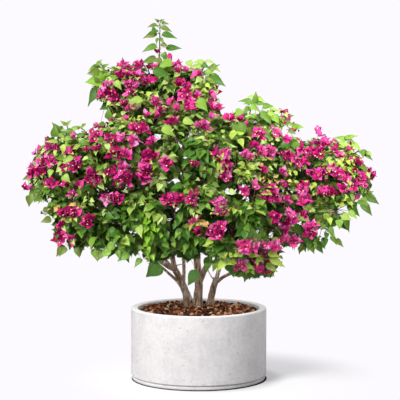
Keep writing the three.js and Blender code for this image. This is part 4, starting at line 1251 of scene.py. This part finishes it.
heroLeaves = {  # foot and tip, share of width, tone, and depth if not on the crown's front
    "crown_top_left": [
        (111, 80.5, 85, 85, 0.66, "bright", -118), (101, 88, 88, 106, 0.5, "shade", -60),
        (118, 100, 101, 112, 0.7, "shade", -80), (99, 66, 89, 72, 0.5, "green", -70),
        (97, 65, 102, 60, 0.45, "green", -70), (102, 68, 109, 65, 0.45, "green", -70),
        (115, 81, 120, 90, 0.6, "mid"),
    ],
    "shoulder_left": [
        (142, 100, 127, 104, 0.5, "mid"), (163, 126, 173, 138, 0.6, "mid"), (136, 108, 128, 100, 0.7, "mid"),
    ],
    "crown_top": [
        (157, 46, 143, 53, 0.44, "deep", -15), (166, 48, 181, 51, 0.4, "shade", -15),
        (161, 44, 168, 48, 0.5, "olive", -20), (157, 33, 144.5, 40, 0.46, "olive", -15),
        (157, 30, 151, 34, 0.9, "shade", -26), (162, 34, 176, 40, 0.4, "shade", -15),
        (157, 25, 148, 28, 0.42, "olive", -12), (161, 27, 171, 33, 0.42, "olive", -15),
        (162, 23, 168, 25, 0.45, "olive", -12), (160, 22, 164, 20, 0.5, "deep", -12),
        (159, 22, 155, 20, 0.5, "olive", -12), (158, 38, 156, 44, 0.45, "deep", -22),
        (161, 38, 163, 44, 0.45, "olive", -22), (163, 53, 166, 60, 0.75, "deep", -22),
        (156, 58, 144, 63, 0.45, "shade", -20), (172, 63, 159, 68, 0.7, "green"),
        (154, 70, 168, 79, 0.55, "shade"), (153, 60, 144, 64, 0.6, "deep", -60),
        (166, 56, 164, 61, 0.8, "shade", -50),
    ],
    "crown_top_right": [
        (208, 76, 224, 88, 0.5, "shade", -75), (206, 80, 215, 85, 0.6, "shade", -70),
        (210, 66, 219, 72, 0.6, "green", -70), (205, 62, 192, 64, 0.36, "mid", -75),
        (206, 61, 214, 64, 0.4, "mid", -75), (202, 64, 208, 69, 0.6, "shade", -80),
        (203, 66, 190, 69, 0.34, "mid", -80), (201, 74, 190, 77, 0.4, "mid", -80),
        (203, 73, 211, 75, 0.5, "shade", -75), (204, 87, 213, 97, 0.75, "shade", -70),
        (188, 61, 191, 68, 0.8, "mid", -70),
    ],
    "shoulder_right": [
        (252, 101, 239, 103, 0.34, "deep", -85), (256, 97, 264, 103, 0.4, "mid", -85),
        (253, 96, 248, 98, 0.5, "mid", -85), (256, 103, 266, 106, 0.45, "deep", -85),
        (263, 105, 272, 110, 0.45, "mid", -80), (270, 109, 278, 111, 0.4, "mid", -80),
        (250, 107, 244, 114, 0.6, "deep", -85), (251, 105, 257, 112, 0.7, "green", -90),
        (242, 110, 235, 119, 0.7, "green"), (261, 111, 271, 127, 0.36, "deep"),
        (273, 115, 278, 124, 0.7, "green"), (284, 118, 294, 117, 0.5, "deep", -80),
        (292, 126, 304, 130, 0.42, "green", -80), (262, 129, 271, 142, 0.4, "deep"),
        (242, 122, 237, 143, 0.68, "deep"), (284, 120, 291, 127, 0.6, "mid", -80),
    ],
    "centre_front": [
        (197, 100, 206, 112, 0.7, "green"), (183, 120, 194, 126, 0.6, "mid"),
    ],
    "skirt_middle": [
        (161, 265, 147.5, 279, 0.85, "shade", -150), (198, 272, 188.5, 286, 0.72, "shade", -140),
        (209, 257, 207, 272, 0.6, "deep", -130), (219, 259, 213, 272, 0.55, "green", -130),
    ],
    "truss_low_right": [
        (225, 261, 218, 272, 0.55, "lime"), (227, 256, 217, 256, 0.5, "mid"),
        (243, 255, 230, 258, 0.42, "lime"), (236, 261, 227, 266, 0.6, "lime"),
        (249, 256, 259, 257, 0.5, "lime"), (244, 265, 254, 271, 0.5, "mid"),
        (249, 270, 245, 282, 0.75, "deep", -280), (271, 251, 285, 254, 0.4, "green", -250),
        (270, 257, 283, 270, 0.42, "lime"), (268, 253, 279, 259, 0.45, "lime"),
        (266, 264, 276, 274, 0.45, "mid"),
    ],
    "lobe_left": [
        (42, 183, 27, 200, 0.36, "green", -90), (33, 176, 23, 181, 0.5, "olive", -90),
        (43, 184, 41, 194, 0.6, "mid", -110), (37, 191, 34, 201, 0.5, "olive", -100),
        (52, 170, 49, 177, 0.8, "mid"), (62, 129, 50, 138, 0.4, "green", -90),
        (58, 142, 45, 143, 0.3, "mid"), (66, 125, 60, 122, 0.5, "mid", -90),
        (67, 125, 71, 121, 0.5, "mid", -90), (71, 130, 84, 128, 0.33, "mid", -90),
        (60, 131, 63, 140, 0.75, "mid", -95), (65, 138, 73, 144, 0.6, "green"),
        (77, 136, 87, 136, 0.4, "deep", -90), (79, 142, 90, 147, 0.5, "deep"),
        (62, 145, 65, 153, 0.6, "lime"), (73, 157, 64, 164, 0.5, "mid"), (63, 176, 69, 183, 0.8, "mid"),
    ],
    "skirt_left": [
        (65, 246, 57, 257, 0.66, "olive", -130), (79, 242, 79, 256, 0.79, "olive", -130),
        (95, 233, 97, 254, 0.52, "shade", -150), (101, 248, 110, 244, 0.5, "green", -140),
    ],
    "centre_low_left": [
        (117, 247, 108, 259, 0.53, "shade", -160), (124, 246, 127, 263, 0.64, "shade", -160),
        (134, 246, 130, 256, 0.6, "shade", -160),
    ],
    "lobe_right": [
        (347, 139, 334, 140, 0.34, "green", -90), (345, 138, 358, 138, 0.34, "green", -95),
        (352, 143, 360, 152, 0.45, "mid", -95), (362, 150, 371, 162, 0.36, "deep", -90),
        (365, 195, 378, 206, 0.5, "deep", -90),
    ],
    "skirt_right": [
        (361, 202, 371, 217, 0.46, "deep", -110), (348, 204, 358, 218, 0.5, "shade", -125),
        (344, 212, 348, 233, 0.36, "deep", -125), (336, 220, 347, 232, 0.47, "shade", -115),
        (328, 228, 334, 237, 0.6, "deep", -125), (331, 236, 336, 245, 0.5, "green", -120),
        (336, 239, 342, 248, 0.5, "green", -120), (310, 244, 313, 254, 0.6, "green", -130),
        (317, 245, 322, 254, 0.6, "shade", -125), (303, 242, 305, 252, 0.6, "deep", -130),
    ],
}
heroBlooms = {  # place, depth, flowers
    "crown_top": [
        (170, 60, -30, 3), (157.3, 53, -15, 1), (142, 64, -50, 3), (151, 66, -50, 2), (176, 66, -60, 4),
    ],
    "lobe_left": [
        (27, 190, -90, 2), (38, 155, -90, 2), (95, 126, -90, 2), (41, 154, -90, 2), (33, 168, -90, 3),
    ],
    "lobe_right": [
        (372, 178, -90, 3), (318, 134, -60, 3), (348, 149, -90, 2), (369, 172, -90, 3),
    ],
    "shoulder_right": [
        (282, 112, -80, 2), (287, 122, -80, 2), (293, 133, -80, 3),
    ],
    "crown_top_right": [(217, 92, -60, 2)],
    "skirt_left": [(57, 240, -130, 4)],
    "crown_top_left": [(121, 67, -60, 3)],
    "truss_low_right": [
        (243, 242, -300, 4), (250, 247, -300, 4), (264, 242, -290, 4), (272, 245, -280, 3),
        (240, 264, -290, 3), (258, 262, -290, 4), (266, 268, -285, 4),
    ],
}
heroShape = {  # in mm, shares and numbers of tones
    "towards": (0, -0.8, 0.45), "shootRadii": (3.5, 1.8), "stations": 10, "brown": 7, "before": 22,
    "bow": 6, "stalkRadii": (1.3, 1.0, 0.7), "stray": 0.8, "apart": 9, "size": (0.8, 1.05), "magenta": 2,
    "single": (0, 0.75),
}


def growHeroes():
    s = heroShape
    towards = Vector(s["towards"])
    for crown in crowns:
        for way, depth, shares, size, tone in heroShoots.get(crown.name, ()):
            points = [placeOf(u, v, depth) for u, v in way]
            line = Line([crown.hostOf(points[0])[0], *points])
            start = (line.length - (Line(points).length)) / line.length
            # brown below, green at the tip
            for finish, first, last in ((0, 0, s["brown"]), (1, s["brown"], s["stations"])):
                steps = [k / s["stations"] for k in range(first, last + 1)]
                crown.rods.add(*tapered(line, steps, s["shootRadii"]), 5, finish)
            crown.shoots.append(line)
            places = [start + (1 - start) * share for share in shares]
            crown.leafShoot(line, places, size, towards, tone, tested=False)
        for footU, footV, tipU, tipV, share, tone, *depth in heroLeaves.get(crown.name, ()):
            depth = depth[0] if depth else frontPlace(footU, footV).y - s["before"]
            crown.placeLeaf((footU, footV), (tipU, tipV), depth, share, tone)
        for u, v, depth, flowers in heroBlooms.get(crown.name, ()):
            place = placeOf(u, v, depth)
            foot, _ = crown.hostOf(place)
            crown.rods.add([foot, foot.lerp(place, 0.5) + up * s["bow"], place], s["stalkRadii"], 3, 1)
            tone = paintedLightBract if crown.name == "truss_low_right" else s["magenta"]
            for k in range(flowers):
                axis = (up + towards * 0.3 + crown.wander(s["stray"])).normalized()
                if flowers > 1:
                    root = place + crown.wander(s["apart"])
                    crown.addFlower(root, axis, tone, crown.dice.uniform(*s["size"]))
                else:
                    for lean in (-0.25, 0.25):
                        crown.addFlower(place, up + Vector((lean, 0, 0)), *s["single"])


# Single leaves that hang and stand out along the outline of the crown, as seen in the picture.
fringeShape = {
    "gap": 6, "gapRange": (0.7, 1.3), "skipped": 0.42, "inward": (4, 8), "length": (6, 14),
    "share": (0.38, 0.75), "depth": 10, "bare": (-175, 130, 560), "byBloom": 3, "low": 620, "seed": 5150,
    "lowTones": ("olive", "green", "deep", "deep", "shade"), "highTones": ("green", "mid", "deep", "olive"),
}


def growFringe():
    s = fringeShape
    dice = random.Random(s["seed"])
    for start, end in zip(crownOutline, np.roll(crownOutline, -1, 0)):
        way = end - start
        reach = float(np.linalg.norm(way))
        along, outward = way / reach, np.array([way[1], -way[0]]) / reach
        place = dice.uniform(0, s["gap"])
        while place < reach:
            foot = start + along * place - outward * dice.uniform(*s["inward"])
            place += s["gap"] * dice.uniform(*s["gapRange"])
            if dice.random() < s["skipped"]:
                continue
            heading = outward * 0.6 + np.array([0, 0.55]) + along * dice.uniform(-1, 1)
            tip = foot + heading / np.linalg.norm(heading) * dice.uniform(*s["length"])
            middle = frontPlace(*foot)
            left, right, top = s["bare"]  # over the stems only the listed leaves hang down
            crown = ownerOf(middle)
            if left < middle.x < right and middle.z < top or crown.name == "truss_low_right":
                continue
            if inPatches(bloomPatches, middle, s["byBloom"])[0]:
                continue
            # painted shade: low on the crown the fringe leaves take darker tones
            tone = dice.choice(s["lowTones" if middle.z < s["low"] else "highTones"])
            crown.placeLeaf(foot, tip, middle.y + s["depth"], dice.uniform(*s["share"]), tone)


# Light, floor and camera, in metres and watts.
stageShape = {
    "backdrop": (0.982, 0.956, 1.0), "floorSize": 120, "lift": 0.60, "floorShade": 0.46, "floorFill": 0.67,
    "shadowMiddle": (0.10, 0.03), "shadowNear": 0.30, "shadowFar": 0.62,
    # the contact and soft rings are painted shadow round the foot of the planter
    "contactMiddle": (0.002, -0.006), "contactNear": 0.247, "contactFar": 0.2525,
    "softMiddle": (0.035, -0.005), "softNear": 0.235, "softFar": 0.30, "softShade": 0.22,
    "fill": 0.74, "fillColour": (0.97, 0.98, 1), "lampColour": (1, 0.985, 0.965), "sensor": 36,
}
lamps = {  # place, size, power, what it aims at, and spread in degrees: narrow beams pass over the planter
    "key": ((-3.05, -3.9, 3.7), 2.4, 505, (0, 0, 0.6), 180),
    "side": ((3.2, -3.6, 2.4), 0.6, 4.5, (0.33, 0, 0.97), 16),
    "low": ((0, -0.02, 0.44), 0.62, 1.1, (0, -0.02, 0), 180),
    "stem": ((-0.75, -1.25, 0.60), 0.12, 0.07, (0, 0, 0.38), 16),
}


def makeFloor():
    s = stageShape
    deselectAll()
    bpy.ops.mesh.primitive_plane_add(size=s["floorSize"], location=(0, 0, 0))
    floor = bpy.context.object
    floor.name = "floor"
    finish = Finish("floor_white", Roughness=0.95, Specular_IOR_Level=0.0)
    place = finish.objectPlace()

    def near(name):  # 1 round its middle, 0 farther out
        values = [place, (*s[f"{name}Middle"], 0)]
        away = finish.node("ShaderNodeVectorMath", {"operation": "DISTANCE"}, values, output="Value")
        return away.step(s[f"{name}Far"], s[f"{name}Near"])

    # shade shows only round the planter; farther out the floor is as bright as the backdrop
    shadow = near("shadow")
    # painted shadow: a narrow dark line where the foot of the planter stands on the floor, and a soft painted
    # shade round it, more to the right
    clear = (1 - near("contact")) * (1 - near("soft") * s["softShade"])
    finish.feed("Base Color", finish.lay((0, 0, 0, 1), (shadow * clear, (s["floorShade"],) * 3)))
    seen = finish.node("ShaderNodeLightPath", output="Is Camera Ray")
    glow = (1 - shadow * s["lift"]) * clear
    finish.shader.inputs["Emission Color"].default_value = (*s["backdrop"], 1)
    finish.feed("Emission Strength", glow * (seen * (1 - s["floorFill"]) + s["floorFill"]))
    floor.data.materials.append(finish.material)


def makeWorld():  # the camera sees the backdrop, and the plant gets the fill
    s = stageShape
    world = bpy.data.worlds.new("studio")
    bpy.context.scene.world = world
    world.use_nodes = True
    tree = world.node_tree
    tree.nodes.clear()
    path, mix, out = (
        tree.nodes.new(f"ShaderNode{kind}") for kind in ("LightPath", "MixShader", "OutputWorld")
    )
    for socket, colour, strength in ((1, s["fillColour"], s["fill"]), (2, s["backdrop"], 1)):
        background = tree.nodes.new("ShaderNodeBackground")
        background.inputs["Color"].default_value = (*colour, 1)
        background.inputs["Strength"].default_value = strength
        tree.links.new(background.outputs[0], mix.inputs[socket])
    tree.links.new(path.outputs["Is Camera Ray"], mix.inputs[0])
    tree.links.new(mix.outputs[0], out.inputs[0])


def makeLamps():
    for name, (place, size, power, aim, spread) in lamps.items():
        light = bpy.data.lights.new(name, "AREA")
        light.shape = "DISK"
        light.size, light.energy, light.spread = size, power, math.radians(spread)
        light.color = stageShape["lampColour"]
        lamp = bpy.data.objects.new(name, light)
        bpy.context.scene.collection.objects.link(lamp)
        lamp.location = place
        lamp.rotation_euler = (Vector(aim) - lamp.location).to_track_quat("-Z", "Y").to_euler()
        lamp.visible_camera = False


def makeCamera():
    s, sensor = pictureView, stageShape["sensor"]
    lens = bpy.data.cameras.new("camera")
    lens.sensor_width = sensor
    lens.lens = s["focal"] / s["size"] * sensor
    lens.shift_x = (s["size"] / 2 - s["middle"][0]) / s["size"]
    camera = bpy.data.objects.new("camera", lens)
    bpy.context.scene.collection.objects.link(camera)
    camera.location = (0, -s["distance"] / 1000, s["height"] / 1000)
    camera.rotation_euler = (math.pi / 2 - s["pitch"], 0, 0)
    bpy.context.scene.camera = camera
    bpy.context.scene.view_settings.view_transform = "Standard"


makeFloor()
makeWorld()
makeLamps()
makeCamera()
print("stage, lights and camera are set")

buildPlanter(makeConcrete())
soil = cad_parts["potting_soil"]
soil.data.materials.clear()
soil.data.materials.append(makeSoil().material)
chipFinishes = [
    makeChip("nugget_brown", (0.022, 0.006, 0.002), (0.115, 0.036, 0.012)),
    makeChip("nugget_red", (0.040, 0.009, 0.002), (0.185, 0.052, 0.016)),
    # the darkest nuggets are partly dark bark and partly painted shade for the gaps between the nuggets
    makeChip("nugget_dark_gap_shade", (0.005, 0.002, 0.001), (0.018, 0.007, 0.004)),
    makeChip("nugget_tan", (0.13, 0.044, 0.015), (0.42, 0.18, 0.075)),
    makeChip("nugget_pink", (0.26, 0.115, 0.065), (0.62, 0.34, 0.21)),
    makeChip("nugget_pale", (0.32, 0.21, 0.13), (0.66, 0.50, 0.36)),
]
# the bed under the nuggets takes the darkest finish: painted shade in the gaps between them
buildMound(chipFinishes[2])
buildNuggets(chipFinishes)
print("planter, soil and mulch are in place")

spaces = [Space(index) for index in range(len(masses))]
tips = buildWood(makeBark())
woodPoints = [p for line, _ in grown.values() for p in line.samples[::4]]
woodTree = kdtree.KDTree(len(woodPoints))
for number, point in enumerate(woodPoints):
    woodTree.insert(point, number)
woodTree.balance()
print("stems and boughs are grown")

leafFinishes = [
    Finish(f"leaf_{name}", Base_Color=(*colour, 1), Roughness=0.45, Specular_IOR_Level=0.2)
    for name, colour in leafTones.items()
]
bractFinishes = [
    Finish(f"bract_{name}", Base_Color=(*colour, 1), Roughness=0.6, Specular_IOR_Level=0.12)
    for name, colour in bractTones.items()
]
twigFinishes = [
    Finish("twig_wood", Base_Color=(0.13, 0.085, 0.05, 1), Roughness=0.8),
    Finish("twig_green", Base_Color=(0.14, 0.18, 0.05, 1), Roughness=0.6),
    Finish("twig_red", Base_Color=(0.34, 0.12, 0.075, 1), Roughness=0.6),
]
tubeFinishes = [
    Finish("flower_tube", Base_Color=(0.62, 0.16, 0.28, 1), Roughness=0.6),
    Finish("flower_star", Base_Color=(0.85, 0.74, 0.42, 1), Roughness=0.6),
]
crowns = [Crown(index, tip) for index, tip in enumerate(tips)]
for crown in crowns:
    crown.growTwigs()
planted = plantPatches()
print("patches of blossom and young growth:", len(planted), "shoots")
places = outsidePlaces(planted)
print("the crown ends in", len(places), "sprays")
for index, place, kind in places:
    crown = crowns[index]
    outward = slopeAt(place)
    depth = crown.dice.uniform(*outsideShape["openDepth" if kind in ("bloom", "young") else "leafDepth"])
    crown.growSpray(place - outward * depth, outward, kind)
for crown in crowns:
    crown.growInside()
growHeroes()
growFringe()
triangleCount = sum(crown.finishPieces() for crown in crowns)
print("leaves and blossom are grown, with about", triangleCount, "triangles")
